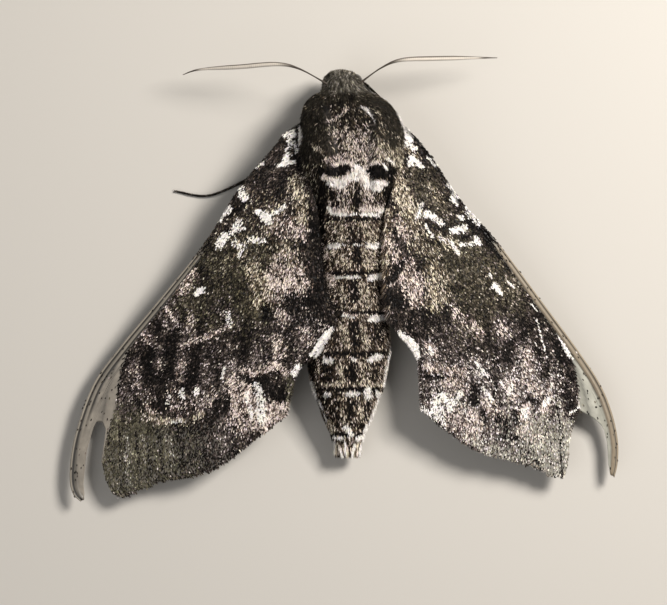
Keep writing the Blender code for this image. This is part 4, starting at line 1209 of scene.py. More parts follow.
# marks of the back: (from x, forward, to x, forward, half width, strength)
backMarks = {
    "pink": (
        (-0.8, 24.2, -2.3, 22.9, 0.28, 0.85), (-2.3, 22.9, -3.6, 22.2, 0.25, 0.7),
        (-1.0, 20.0, 1.8, 19.6, 1.6, 0.3), (-3.3, 16.8, -1.6, 17.4, 0.5, 0.5),
        (-1.5, 17.2, 4.0, 17.3, 0.8, 0.4), (0.0, 18.6, 3.0, 18.4, 0.8, 0.3),
        (-1.6, 12.9, -1.2, 11.2, 0.9, 0.4), (2.0, 12.8, 2.4, 11.2, 0.9, 0.45),
        (0.2, 14.0, 0.2, 12.6, 0.4, 0.5), (-3.0, 10.6, -0.8, 10.2, 0.5, 0.45),
        (1.3, 10.6, 4.2, 10.4, 0.5, 0.5), (-4.2, 4.6, -3.7, 3.2, 0.45, 0.8),
        (-4.6, 0.5, -2.9, 0.1, 0.5, 0.75), (-5.0, -1.2, -3.0, -1.1, 0.35, 0.7),
        (4.8, 5.2, 5.6, 3.0, 0.8, 0.5), (-1.2, -5.0, 2.0, -5.3, 0.2, 0.5),
        (5.0, -0.4, 6.0, -0.6, 0.5, 0.5),
    ),
    "cream": (
        (6.7, 18.2, 6.8, 10.4, 0.8, 0.6), (3.4, 18.2, 5.4, 17.0, 0.9, 0.4),
        (-6.8, 15.5, -5.7, 9.0, 0.9, 0.5), (3.2, 20.6, 4.4, 18.8, 0.4, 0.45),
        (4.4, 19.2, 5.8, 17.4, 0.4, 0.55), (5.2, 17.6, 6.0, 15.6, 0.35, 0.7),
        (-5.3, 19.0, -4.2, 17.8, 0.4, 0.45), (3.6, 23.6, 4.4, 21.0, 0.5, 0.3),
        (-3.6, 21.6, -2.4, 20.4, 0.6, 0.3), (5.2, 8.8, 5.7, 3.2, 0.9, 0.5),
        (-2.0, 8.2, -1.4, 5.6, 0.8, 0.4), (1.6, 8.2, 2.8, 5.4, 0.9, 0.5),
        (-2.4, 3.8, -1.0, 1.6, 0.8, 0.4), (1.6, 3.9, 2.2, 1.4, 0.5, 0.7), (2.8, 3.6, 3.2, 1.4, 0.5, 0.4),
        (1.2, -0.9, 2.4, -3.6, 0.6, 0.6), (-1.7, -1.4, -1.0, -3.8, 0.5, 0.35),
        (1.4, -6.8, 1.9, -9.6, 0.5, 0.5), (-1.3, -6.8, -0.8, -9.5, 0.5, 0.45),
        (-1.9, -12.4, -1.3, -15.0, 0.4, 0.5), (1.4, -12.3, 1.8, -15.2, 0.4, 0.5),
        (-1.4, -18.0, -1.2, -20.8, 0.25, 0.4), (1.2, -17.4, 1.3, -20.4, 0.35, 0.5),
        (-3.2, -20.4, -2.6, -21.8, 0.4, 0.5), (-4.0, -15.1, 3.4, -15.1, 0.3, 0.5),
        (-2.2, -23.6, -2.2, -25.0, 0.22, 0.9), (-1.0, -24.0, -0.6, -25.3, 0.26, 0.9),
        (0.9, -23.6, 0.2, -25.2, 0.3, 0.95),
    ),
    "dark": (
        (-4.0, 15.2, -0.2, 15.6, 0.8, 1), (-4.4, 15.4, -4.2, 14.2, 0.4, 0.9),
        (2.5, 15.3, 5.2, 15.3, 0.9, 1), (5.3, 15.3, 5.3, 12.9, 0.35, 0.8),
        (0.5, 14.2, 0.6, 13.2, 0.25, 0.7), (0.6, 12.8, 0.7, 10.6, 0.45, 0.85),
        (-2.6, 12.4, -2.2, 10.6, 0.8, 0.5), (2.9, 12.0, 3.2, 10.8, 0.8, 0.45),
        (-3.9, 22.8, 4.4, 22.8, 1.4, 0.3), (-4.2, 13.4, -4.0, 9.6, 0.55, 0.85),
        (4.9, 12.6, 5.2, 10.0, 0.55, 0.85), (-6.8, 17.4, -5.2, 12.4, 0.7, 0.5),
        (-3.9, 24.6, -1.0, 24.9, 0.5, 0.6), (0.0, 26.0, -0.4, 24.6, 0.4, 0.7),
        (-2.6, 23.3, -1.2, 23.9, 0.2, 0.6), (-3.2, 8.5, 4.0, 8.5, 0.35, 0.75),
        (-4.2, 8.6, -4.6, 3.4, 0.7, 0.75), (0.6, 4.0, 0.8, 2.7, 0.6, 0.85),
        (-0.2, 7.4, 0.0, 5.6, 0.5, 0.4), (-2.6, 0.7, 1.1, 0.8, 0.22, 0.95),
        (1.6, 0.8, 4.1, 1.1, 0.22, 0.9), (-5.0, 2.6, -4.4, 1.6, 0.6, 0.9),
        (0.2, -0.8, 0.4, -3.0, 0.6, 0.85), (-4.6, -2.6, -3.0, -4.8, 1.0, 0.9),
        (5.2, 2.6, 4.8, 0.8, 0.4, 0.7), (-0.5, -4.9, 4.4, -4.8, 0.2, 0.85),
        (0.4, -6.6, 0.5, -9.4, 0.65, 0.8), (3.5, -6.9, 3.6, -8.4, 0.7, 0.85),
        (-3.0, -6.8, -2.4, -9.0, 0.5, 0.5), (-3.6, -10.7, 4.6, -10.6, 0.22, 0.95),
        (-3.6, -12.6, -3.5, -14.2, 0.8, 0.85), (0.0, -12.6, 0.0, -14.2, 0.8, 0.85),
        (3.1, -12.6, 3.2, -13.8, 0.7, 0.55), (-5.9, -12.2, -5.7, -13.6, 0.7, 0.65),
        (-3.6, -17.2, -3.6, -18.0, 0.5, 0.5), (-4.4, -15.8, 3.6, -15.7, 0.22, 0.9),
        (-2.6, -17.8, -2.4, -19.6, 0.8, 0.7), (-0.1, -17.6, -0.1, -19.8, 0.75, 0.7),
        (2.2, -17.8, 1.8, -20.1, 0.35, 0.6), (-2.0, -22.2, 1.2, -22.2, 0.3, 0.7),
        (-1.8, -21.0, 1.2, -21.0, 0.6, 0.4),
    ),
    "rose": (
        (-2.6, 16.2, -0.8, 16.7, 0.26, 0.85), (-0.8, 16.7, 0.6, 15.9, 0.26, 0.95),
        (1.6, 15.7, 3.2, 16.5, 0.26, 0.95), (3.2, 16.5, 3.9, 16.7, 0.24, 0.8),
        (0.5, 15.0, -1.0, 14.1, 0.6, 1), (-1.0, 14.1, -2.2, 13.6, 0.65, 1),
        (-2.2, 13.6, -3.8, 14.4, 0.4, 0.9), (0.9, 15.1, 1.7, 14.1, 0.55, 1),
        (1.7, 14.1, 2.8, 13.3, 0.65, 1), (2.8, 13.3, 4.5, 13.7, 0.4, 0.9),
        (-3.0, 9.7, -0.9, 9.6, 0.28, 0.7), (1.3, 9.8, 4.2, 9.9, 0.3, 0.75),
    ),
    "white": (
        (-2.3, -23.6, -2.5, -25.4, 0.14, 0.85), (-1.7, -24.4, -1.3, -25.4, 0.14, 0.8),
        (-0.9, -23.6, -0.9, -25.2, 0.12, 0.7), (0.3, -24.0, 0.0, -25.4, 0.15, 0.8),
        (1.5, -23.2, 1.0, -25.2, 0.2, 0.9), (1.4, 24.4, 2.1, 24.0, 0.17, 1),
        (2.1, 24.0, 2.8, 23.0, 0.17, 1), (2.8, 23.0, 3.3, 22.2, 0.11, 0.7),
        (-7.5, 21.6, -7.2, 20.4, 0.22, 0.9), (-7.2, 20.4, -7.4, 19.2, 0.2, 0.8),
        (6.6, 23.6, 7.2, 21.8, 0.2, 0.95), (7.2, 21.8, 7.8, 20.4, 0.25, 1),
        (7.6, 20.4, 7.6, 18.8, 0.2, 0.9), (0.6, 15.8, 1.4, 15.4, 0.35, 1),
        (4.2, 16.4, 4.8, 15.6, 0.12, 0.9), (4.8, 17.0, 5.6, 16.6, 0.2, 0.7),
        (-3.2, 13.7, -1.4, 13.3, 0.4, 0.9), (2.0, 13.5, 3.5, 13.1, 0.5, 0.95),
        (-0.4, 14.3, 1.2, 14.6, 0.4, 0.6), (4.4, 13.8, 4.7, 13.6, 0.25, 0.9),
        (-3.3, 10.2, -2.8, 9.4, 0.16, 1), (-2.8, 9.3, -0.9, 9.1, 0.2, 1), (1.3, 9.2, 3.6, 9.1, 0.22, 1),
        (3.6, 9.2, 4.3, 9.9, 0.2, 0.95), (-0.7, 9.2, 1.2, 9.2, 0.12, 0.4),
        (-0.6, 14.4, 0.4, 15.0, 0.3, 0.9), (1.3, 14.8, 2.2, 13.9, 0.3, 0.9),
        (-2.6, 13.9, -1.0, 13.8, 0.3, 0.9), (2.6, 13.7, 4.2, 13.6, 0.25, 0.9),
        (-3.0, 4.65, -1.8, 4.65, 0.3, 1), (2.2, 4.65, 3.7, 4.7, 0.33, 1),
        (-1.5, 4.8, 1.4, 4.8, 0.1, 0.5), (-2.3, 0.1, 1.0, 0.2, 0.15, 0.95),
        (2.5, 0.0, 4.2, 0.35, 0.36, 1), (2.6, -5.8, 4.4, -5.7, 0.38, 1),
        (-1.3, -5.3, 0.3, -5.6, 0.16, 0.75), (-3.8, -11.6, -2.9, -11.7, 0.36, 1),
        (2.5, -11.7, 3.7, -11.1, 0.34, 1), (0.0, -11.5, 0.4, -11.6, 0.2, 0.8),
        (-3.7, -16.6, -3.1, -16.6, 0.28, 0.9), (-0.8, -16.5, 0.7, -16.5, 0.3, 0.95),
        (2.2, -15.9, 2.2, -16.8, 0.42, 1), (3.4, -16.2, 3.5, -16.8, 0.2, 0.9),
        (5.4, -9.6, 4.9, -12.4, 0.12, 0.6), (4.8, -12.4, 4.3, -15.4, 0.12, 0.6),
        (3.8, -16.4, 3.1, -18.6, 0.12, 0.6), (3.1, -18.6, 2.2, -21.0, 0.14, 0.75),
        (2.0, -21.0, 1.5, -22.6, 0.22, 0.95), (-5.7, -14.8, -4.9, -17.2, 0.16, 0.9),
        (-4.6, -17.4, -3.4, -20.4, 0.12, 0.4), (-2.4, -22.8, -1.4, -22.9, 0.16, 0.95),
        (-0.8, -21.3, -0.2, -22.4, 0.35, 0.7), (0.7, -22.9, 1.5, -22.7, 0.24, 1),
    ),
}


# where the plain kinds lie: (from forward, over how far), or (from, to, how soft) of a share
bodyGround = {
    "pad": (14.0, 5.0),
    "padChance": (0.85, 0.6),  # the chance, from this much of a pad up
    "nape": (24.0, 0.8),
    "napeChance": 0.8,
    "face": (25.4, 1.0),
    "faceChance": 0.9,
    # the left flank of the abdomen: dark hairs as painted shade, on the side away from the key light
    "shadedFlank": (-1.2, -0.72, 0.15),
    "shadedFlankChance": 0.4,
    "ringEdge": (0.88, 0.98, 0.08),
    "ringChance": 0.7,
    "upperSide": (0.15, 0.3),
    "bellyBrown": (0.3, 0.6),  # everywhere, and more at a ring's edge
    "cheeks": 25.5,  # in front of this
}


def bodyKinds(forward, angle, points, dice):
    x, ground = points[:, 0], bodyGround
    across = (x + leanAt(forward)) / np.maximum(sectionAt(forward)[0], 0.1)

    def reached(part):
        start, over = ground[part]
        return ease((forward - start) / over)

    kinds = np.full(len(x), kindNames.index("fleece"))
    draw = dice.random(len(x))
    chance, enough = ground["padChance"]
    smoky = chance * ease(padShare(forward, angle) * reached("pad") / enough)
    smoky = smoky + ground["napeChance"] * reached("nape")
    kinds[draw < smoky] = kindNames.index("smoke")
    kinds[dice.random(len(x)) < ground["faceChance"] * reached("face")] = kindNames.index("felt")
    onAbdomen = forward < body["joints"][0]
    kinds[onAbdomen] = kindNames.index("abdomen")
    # painted shade: dark hairs on the abdomen's left flank
    shadedFlank = onAbdomen & (dice.random(len(x)) < ground["shadedFlankChance"] * between(across, *ground["shadedFlank"]))
    kinds[shadedFlank] = kindNames.index("dark")
    ringEdge = ground["ringChance"] * between(ringStep(forward), *ground["ringEdge"])
    edge = onAbdomen & (dice.random(len(x)) < ringEdge)
    kinds[edge] = kindNames.index("dark")
    marked = pickKinds(backMarks, x, forward + tableAt(body["markShift"], forward), kinds, dice)
    low, soft = ground["upperSide"]
    above = dice.random(len(x)) < ease((np.sin(angle) + low) / soft)
    below = np.full(len(x), kindNames.index("belly"))
    brown, brownEdge = ground["bellyBrown"]
    below[dice.random(len(x)) < brown + brownEdge * edge] = kindNames.index("brown")
    kinds = np.where(above, marked, below)
    kinds[~above & (forward > ground["cheeks"])] = kindNames.index("grey")
    return kinds


def addRod(pile, place, rows, columns, tintAt, patch):
    # a closed surface round a long shape, with a point at each end. patch: its place on the OFBake map
    t, turn = np.meshgrid(np.linspace(0, 1, rows), np.arange(columns) / columns, indexing="ij")
    t, turn = t.ravel(), turn.ravel()
    points = place(t, turn)
    ends = np.stack([points[:columns].mean(0), points[-columns:].mean(0)])
    quads = gridFaces(rows, columns, closed=True)
    count = rows * columns
    ring = np.arange(columns)
    ahead = (ring + 1) % columns
    front = np.stack([np.full(columns, count), ring, ahead], 1)
    back = np.stack([np.full(columns, count + 1), count - columns + ahead, count - columns + ring], 1)
    tint = tintAt(t, turn, points)
    tint = np.concatenate([tint, tint[:1], tint[-1:]])
    mapPoints = patch[:2] + np.stack([turn, t], 1) * patch[2:]
    mapPoints = np.concatenate([mapPoints, mapPoints[:1], mapPoints[-1:]])
    addToPile(pile, np.concatenate([points, ends]), [quads, front, back], tint, mapPoints)


def bodyTint(t, turn, points):
    forward = body["front"] + (body["back"] - body["front"]) * t
    return underCoatInk(bodyKinds(forward, 2 * math.pi * turn, points, np.random.default_rng(32)))


def plainTint(t, turn, points):
    return np.tile(horn["skin"], (len(t), 1))


print("body skin")
skin = newPile()
addRod(skin, bodyPlace, body["rows"], body["columns"], bodyTint, (0.01, 0.01, 0.5, 0.98))

# tables are (forward, value) from head to tail
hair = {
    "gap": ((30, 0.105), (26, 0.11), (24, 0.115), (9, 0.112), (-25, 0.108)),
    "bellyGap": 1.5,  # times as sparse underneath
    "length": (
        (30, 0.42), (27, 0.46), (22, 0.50), (17, 0.46), (9, 0.38), (4, 0.36), (-20, 0.38), (-22, 0.5),
        (-24, 1.2), (-24.5, 1.0), (-24.8, 0.5),
    ),
    "width": ((30, 0.06), (25, 0.07), (12, 0.075), (-16, 0.075), (-25, 0.08)),
    "lift": ((30, 0.10), (25, 0.18), (12, 0.20), (8, 0.20), (-20, 0.22), (-25, 0.14)),
    "sway": ((30, 0.20), (25, 0.25), (22, 0.45), (12, 0.40), (0, 0.38), (-10, 0.30), (-20, 0.20)),
    "shift": (0.35, 0.5),  # of a gap, round and along the body
    "face": (28.4, 0.35, 0.6),  # in front of this they hang over the face: (from, how ragged, over how far)
    "faceLie": (0.0, 0.1, -1.0),
    "tail": (-22.5, 1.5),  # behind this they reach straight back
    "tailLie": (0.0, -1.0, -0.08),
    "seen": (0.75, 0.6),  # how far along a hair its colour and its kind are read
    "mottle": (2.6, 0.45, 0.19),  # strength, drawn out along the body, size
    "paleFrom": 0.4,
    "variety": {"length": (0.7, 1.3), "width": (0.7, 1.2), "lift": (0.4, 1.3), "lean": 0.25},
    "paleWider": 0.35,
    "paleHigher": 0.5,
    "pieces": {"hairDark": (0.0, 0.34), "hairBrown": (0.34, 0.67), "hairPale": (0.67, 1.0)},
    # shade: painted shade, darkest at the roots where the coat over them shades them, and less on the pale
    # hairs
    "shade": {"hairDark": (0.4, 1.2), "hairBrown": (0.4, 1.2), "hairPale": (0.8, 1.15)},  # from root to tip
}


def hairRoots(dice):
    # rings of roots from head to tail, thinner underneath
    forwards, turns = [], []
    forward, ring = body["front"], 0
    shiftRound, shiftAlong = hair["shift"]
    while forward > body["back"]:
        gap = float(tableAt(hair["gap"], forward))
        half, top, bottom = sectionAt(np.array([forward, forward - 0.05]))
        around = math.pi * (half[0] + (top[0] - bottom[0]) / 2)
        count = max(8, int(around / gap))
        step = gap / math.hypot(1, (half[1] - half[0]) / 0.05)  # the rings crowd where the body is blunt
        shifted = np.arange(count) + dice.uniform(-shiftRound, shiftRound, count) + 0.5 * (ring % 2)
        turns.append((shifted / count) % 1)
        forwards.append(forward + dice.uniform(-shiftAlong, shiftAlong, count) * step)
        forward -= step
        ring += 1
    turn, forward = np.concatenate(turns), np.concatenate(forwards)
    below = ease((-np.sin(2 * math.pi * turn) - 0.2) / 0.3)
    keep = dice.random(len(turn)) > below * (1 - 1 / hair["bellyGap"])
    return turn[keep], forward[keep]


def hairLie(forward, along, normal, dice):
    # back along the body, but down over the face and straight back at the tail
    start, ragged, over = hair["face"]
    face = ease((forward - start + dice.normal(0, ragged, len(forward))) / over)[:, None]
    start, over = hair["tail"]
    tail = ease((start - forward) / over)[:, None]
    lie = along * (1 - face) + np.array(hair["faceLie"]) * face
    lie = lie * (1 - tail) + np.array(hair["tailLie"]) * tail
    return unit(lie - normal * np.minimum((lie * normal).sum(1), 0.3 * tail[:, 0])[:, None])


def layBodyHair():
    dice = np.random.default_rng(7)
    turn, forward = hairRoots(dice)
    angle = 2 * math.pi * turn
    t = np.clip((body["front"] - forward) / (body["front"] - body["back"]), 0, 1)
    roots, along, across, normal = framesOn(bodyPlace, t, turn)
    normal = -normal
    lie = hairLie(forward, along, normal, dice)
    side = unit(np.cross(normal, lie))
    lie = sway(lie, side, dice, tableAt(hair["sway"], forward))
    variety = hair["variety"]
    long = tableAt(hair["length"], forward) * dice.uniform(*variety["length"], len(t))
    colourAt, kindAt = hair["seen"]
    seen = roots + lie * long[:, None] * colourAt
    kinds = bodyKinds(forward - long * kindAt, angle, seen, dice)
    strength, drawn, size = hair["mottle"]
    gain = np.exp(strength * (blotch(seen[:, 0], seen[:, 1] * drawn, size, 51) - 0.5))
    tint = tintOf(kinds, dice, gain)
    brightness = tint.mean(1)
    bright = ease(brightness / hair["paleFrom"])
    wide = tableAt(hair["width"], forward) * dice.uniform(*variety["width"], len(t))
    wide = wide * (1 + hair["paleWider"] * bright) * shapeOf(kinds)[1]
    lift = dice.uniform(*variety["lift"], len(t)) + hair["paleHigher"] * bright
    lift = tableAt(hair["lift"], forward) * lift
    flat = unit(np.cross(lie, normal) + normal * dice.normal(0, variety["lean"], len(t))[:, None])
    cells = np.stack([turn, t], 1) * 0.98 + 0.01
    for name, shares in hair["pieces"].items():
        darkest, palest = np.quantile(brightness, shares[0]), np.quantile(brightness, shares[1])
        chosen = (brightness >= darkest) & (brightness <= palest)
        pile = newPile()
        parts = (x[chosen] for x in (roots, lie, flat, normal, long, wide, lift))
        addVanes(pile, *parts, hairRows, tint[chosen], cells[chosen], hair["shade"][name])
        pieceFrom(pile, name, finishes["hair"], "body_scales")


layBodyHair()


def tubePlace(knots, radii, steps=120):
    # a function from (t: along, turn: round) to a point of a rod along a smooth curve
    path = evenCurve(knots, steps)
    ahead = unit(np.gradient(path, axis=0))
    side = np.zeros_like(path)
    side[0] = unit(np.cross(ahead[0], (0.3, 0.2, 1.0)))  # a slant that no rod here runs along
    for k in range(1, len(path)):
        side[k] = unit(side[k - 1] - ahead[k] * side[k - 1].dot(ahead[k]))
    other = np.cross(ahead, side)

    def place(t, turn):
        t = np.clip(t, 0, 1)
        radius = curveAt(np.array(radii)[:, None], t)
        angle = 2 * math.pi * np.asarray(turn)[:, None]
        out = readCurve(side, t) * np.cos(angle) + readCurve(other, t) * np.sin(angle)
        return readCurve(path, t) + radius * out

    return place


def leaned(points):
    # moved over as far as the body bends there
    points = np.array(points, float)
    points[:, 0] -= leanAt(points[:, 1])
    return points


tubeCoat = {
    "shift": 0.4,  # of a gap
    "sway": 0.2,
    "lean": 0.15,
    "length": (0.7, 1.3),
    "width": (0.7, 1.3),
    "lift": (0.4, 1.5),
}


def layTubeHair(pile, place, length, around, coat, tintAt, seed, patch):
    # scales or hairs all over a rod, lying towards its end. patch: its place on the OFBake map
    dice = np.random.default_rng(seed)
    rows, columns = max(3, int(length / coat["spacing"])), max(5, int(around / coat["spacing"]))
    t, turn = np.meshgrid((np.arange(rows) + 0.5) / rows, np.arange(columns) / columns, indexing="ij")
    t, turn = t.ravel(), turn.ravel()
    turn = (turn + np.repeat(np.arange(rows) % 2, columns) * 0.5 / columns) % 1
    t = np.clip(t + dice.uniform(-tubeCoat["shift"], tubeCoat["shift"], len(t)) / rows, 0, 1)
    roots, along, across, normal = framesOn(place, t, turn)
    centre = place(t, turn + 0.5)
    normal = normal * np.sign(((roots - centre) * normal).sum(1))[:, None]
    lie = sway(along, across, dice, tubeCoat["sway"])
    flat = unit(np.cross(lie, normal) + normal * dice.normal(0, tubeCoat["lean"], len(t))[:, None])
    long = coat["length"] * dice.uniform(*tubeCoat["length"], len(t))
    wide = coat["width"] * dice.uniform(*tubeCoat["width"], len(t))
    lift = coat["lift"] * dice.uniform(*tubeCoat["lift"], len(t))
    cells = patch[:2] + np.stack([turn, t], 1) * patch[2:]
    addVanes(pile, roots, lie, flat, normal, long, wide, lift, coat["rows"], tintAt(t, turn, dice), cells)


wholeMap = (0.01, 0.01, 0.98, 0.98)  # all of the OFBake map


eyes = {
    "centre": (1.8, 27.65, 6.3),
    "radii": (1.1, 1.35, 1.5),
    "rows": 28,
    "columns": 40,
    "pole": 0.02,
    "tint": 0.02,
    "roughness": 0.28,
    "coat": 0.5,
    "coatRoughness": 0.12,
    "facets": 9000.0,  # to a metre
    "facet": (0.030, 0.020, 0.012, 1),
    "groove": (0.006, 0.005, 0.004, 1),
    "grooveFrom": 0.6,
    "bump": 0.5,
    "bumpDepth": 0.00004,
}


def eyeFinish():
    finish = bpy.data.materials.new("compoundEye")
    finish.use_nodes = True
    nodes, links = finish.node_tree.nodes, finish.node_tree.links
    shader = nodes["Principled BSDF"]
    shader.inputs["Roughness"].default_value = eyes["roughness"]
    shader.inputs["Coat Weight"].default_value = eyes["coat"]
    shader.inputs["Coat Roughness"].default_value = eyes["coatRoughness"]
    place = nodes.new("ShaderNodeTexCoord")
    facets = nodes.new("ShaderNodeTexVoronoi")
    facets.inputs["Scale"].default_value = eyes["facets"]
    ramp = nodes.new("ShaderNodeValToRGB")
    ramp.color_ramp.elements[0].color = eyes["facet"]
    ramp.color_ramp.elements[1].color = eyes["groove"]
    ramp.color_ramp.elements[1].position = eyes["grooveFrom"]
    relief = nodes.new("ShaderNodeBump")
    relief.inputs["Strength"].default_value = eyes["bump"]
    relief.inputs["Distance"].default_value = eyes["bumpDepth"]
    relief.invert = True
    links.new(place.outputs["Object"], facets.inputs["Vector"])
    links.new(facets.outputs["Distance"], ramp.inputs["Fac"])
    links.new(ramp.outputs["Color"], shader.inputs["Base Color"])
    links.new(facets.outputs["Distance"], relief.inputs["Height"])
    links.new(relief.outputs["Normal"], shader.inputs["Normal"])
    return finish


finishes["eye"] = eyeFinish()


def buildEyes():
    rows, columns, pole = eyes["rows"], eyes["columns"], eyes["pole"]
    for side, sign in sides.items():
        centre = leaned([(sign * eyes["centre"][0], *eyes["centre"][1:])])[0]
        down = np.linspace(pole, math.pi - pole, rows)
        polar, turn = np.meshgrid(down, np.arange(columns) / columns, indexing="ij")
        polar, turn = polar.ravel(), turn.ravel()
        ahead, up = np.sin(polar) * np.cos(2 * np.pi * turn), np.sin(polar) * np.sin(2 * np.pi * turn)
        points = centre + np.stack([np.cos(polar), ahead, up], 1) * eyes["radii"]
        count = len(points)
        first = np.arange(columns)
        last = first + (rows - 1) * columns
        front = np.stack([np.full(columns, count), first, np.roll(first, -1)], 1)[:, ::-1]
        back = np.stack([np.full(columns, count + 1), last, np.roll(last, -1)], 1)
        ends = centre + np.array([[1, 0, 0], [-1, 0, 0]]) * eyes["radii"]
        faces = [gridFaces(rows, columns, closed=True)[:, ::-1], front, back]
        tint = np.full((count + 2, 3), eyes["tint"])
        mapPoints = np.concatenate([np.stack([turn, polar / math.pi], 1), [[0.5, 0.0], [0.5, 1.0]]])
        pile = newPile()
        addToPile(pile, np.concatenate([points, ends]), faces, tint, mapPoints * 0.98 + 0.01)
        pieceFrom(pile, "eyeball_" + side, finishes["eye"], "eye", ("eye_" + side,))


brow = {
    "count": 700,
    "angles": (25.0, 165.0),
    "rim": (0.75, 1.15),
    "inside": 0.25,
    "lie": (0.75, -0.55, -0.15),
    "droop": (7.5, 0.3),  # above this height they hang lower
    "sway": 0.2,
    "dim": 0.7,
    "length": 0.75,
    "variety": (0.6, 1.2),
    "width": 0.08,
    "lift": 0.1,
}


def layBrow():
    # short hairs that lean out over each eye from the rim above it
    dice = np.random.default_rng(17)
    pile = newPile()
    droopFrom, droop = brow["droop"]
    for side, sign in sides.items():
        angle = np.radians(dice.uniform(*brow["angles"], brow["count"]))
        rim = dice.uniform(*brow["rim"], brow["count"])
        forward = eyes["centre"][1] + eyes["radii"][1] * rim * np.cos(angle)
        up = eyes["centre"][2] + eyes["radii"][2] * rim * np.sin(angle)
        half, top, bottom = sectionAt(forward)
        level = bottom + (top - bottom) * body["widest"]
        share = np.clip((up - level) / (top - level), -0.95, 0.95)
        out = (half - brow["inside"]) * np.sqrt(1 - share**2)
        roots = leaned(np.stack([sign * out, forward, up], 1))
        outward, ahead, upward = (0 * up + part for part in brow["lie"])
        lie = unit(np.stack([sign * outward, ahead, upward - droop * (up > droopFrom)], 1))
        lie = sway(lie, np.array([0.0, 1.0, 0.0]), dice, brow["sway"])
        normal = unit(np.cross(lie, np.array([0.0, 1.0, 0.0])) * -sign)
        normal = normal * np.sign(normal[:, 2:])
        flat = unit(np.cross(lie, normal))
        tint = tintOf(np.full(len(up), kindNames.index("felt")), dice, brow["dim"])
        long = brow["length"] * dice.uniform(*brow["variety"], len(up)) * np.sin(angle) ** 0.5
        cells = np.stack([0.25 - sign * 0.2 + 0 * up, 0.04 + 0.02 * rim], 1)
        addVanes(pile, roots, lie, flat, normal, long, brow["width"], brow["lift"], hairRows, tint, cells)
    pieceFrom(pile, "browHair", finishes["hair"], "body_scales")


def beaded(place, count, swell):
    # the same rod, swollen at each of so many beads
    def swollen(t, turn):
        middle = (place(t, turn) + place(t, turn + 0.5)) / 2
        return middle + (place(t, turn) - middle) * (1 + swell * np.abs(np.sin(np.pi * t * count)))[:, None]

    return swollen


feelers = {
    "left": (
        (3.5, 27.4, 8.7), (7.4, 29.5, 9.3), (10.6, 30.2, 9.0), (15.9, 29.9, 7.8), (21.6, 29.6, 6.2),
        (24.0, 28.9, 5.5),
    ),
    "right": (
        (1.2, 27.6, 8.7), (4.0, 29.6, 9.3), (6.8, 30.75, 9.2), (11.4, 31.05, 8.2), (17.0, 31.25, 6.4),
        (20.6, 31.3, 5.5),
    ),
    "radii": (0.15, 0.09, 0.12, 0.22, 0.29, 0.31, 0.30, 0.28, 0.20, 0.12, 0.05),
    "beads": 72,
    "swell": 0.14,
    "columns": 12,
    "front": 0.7,  # how much of the front is dark
    "upper": (0.5, 0.3),
    "under": (-0.05, 0.3),
    "paleBead": 0.2,
    "base": (0.24, 0.14),  # dark up to here, then pale over this
    "tip": (0.92, 0.07),
    "beadShade": (0.7, 0.3),
}


def buildFeelers():
    beads = feelers["beads"]

    for side, sign in sides.items():
        rod = tubePlace(np.array(feelers[side]) * (sign, 1, 1), feelers["radii"])
        place = beaded(rod, beads, feelers["swell"])

        def feelerTint(t, turn, points, place=place):
            # dark at the base, the hooked tip and the front, pale along the top and behind
            out = unit(points - place(t, turn + 0.5))
            bead = np.abs(np.sin(np.pi * t * beads))
            slant = out[:, 2] - feelers["front"] * out[:, 1]
            start, over = feelers["upper"]
            pale = ease((slant - start + feelers["paleBead"] * bead) / over)
            start, over = feelers["under"]
            pale = pale * ease((out[:, 2] - start) / over)
            start, over = feelers["base"]
            pale = pale * ease((t - start) / over)
            start, over = feelers["tip"]
            pale = pale * ease((start - t) / over)
            darkest, more = feelers["beadShade"]
            return mixInks(horn["feelerDark"], horn["feelerPale"], pale) * (darkest + more * bead)[:, None]

        pile = newPile()
        addRod(pile, place, beads * 4 + 1, feelers["columns"], feelerTint, wholeMap)
        pieceFrom(pile, "feeler_" + side, finishes["feeler"], "feeler", ("antenna_" + side,))


tongue = {
    "centre": (27.9, 3.1),
    "inner": 0.42,
    "pitch": 0.75,
    "turns": 1.35,
    "radius": 0.22,
    "thinner": 0.7,  # at its free end
    "end": 150.0,
    "beads": 60,
    "swell": 0.08,
    "columns": 12,
}


def tongueTint(t, turn, points):
    return mixInks(horn["tongueDark"], horn["tonguePale"], np.abs(np.sin(np.pi * t * tongue["beads"])))


def buildTongue():
    turns = np.linspace(0, tongue["turns"], 40)
    radius = tongue["inner"] + tongue["pitch"] * turns
    angle = 2 * math.pi * (turns - tongue["turns"]) + math.radians(tongue["end"])
    forward, up = tongue["centre"]
    path = leaned(np.stack([0 * turns, forward + radius * np.cos(angle), up + radius * np.sin(angle)], 1))
    rod = tubePlace(path, (tongue["radius"] * tongue["thinner"], tongue["radius"], tongue["radius"]))
    place = beaded(rod, tongue["beads"], tongue["swell"])
    pile = newPile()
    addRod(pile, place, tongue["beads"] * 4 + 1, tongue["columns"], tongueTint, wholeMap)
    pieceFrom(pile, "tongueCoil", finishes["tongue"], "tongue", ("tongue",))


palps = {
    "path": ((1.25, 26.6, 3.5), (1.35, 27.9, 3.3), (1.35, 28.75, 3.9), (1.15, 29.05, 4.9)),
    "radii": (0.35, 0.55, 0.5, 0.2),
    "rows": 24,
    "columns": 14,
    "length": 5.0,
    "around": 3.6,
    "coat": {"spacing": 0.12, "length": 0.55, "width": 0.09, "lift": 0.2, "rows": hairRows},
    "skinPatch": (0.52, 0.01, 0.05, 0.1),
    "coatPatch": {"left": (0.02, 0.02, 0.08, 0.1), "right": (0.12, 0.02, 0.08, 0.1)},
}


def palpTint(t, turn, dice):
    return tintOf(np.full(len(t), kindNames.index("grey")), dice)


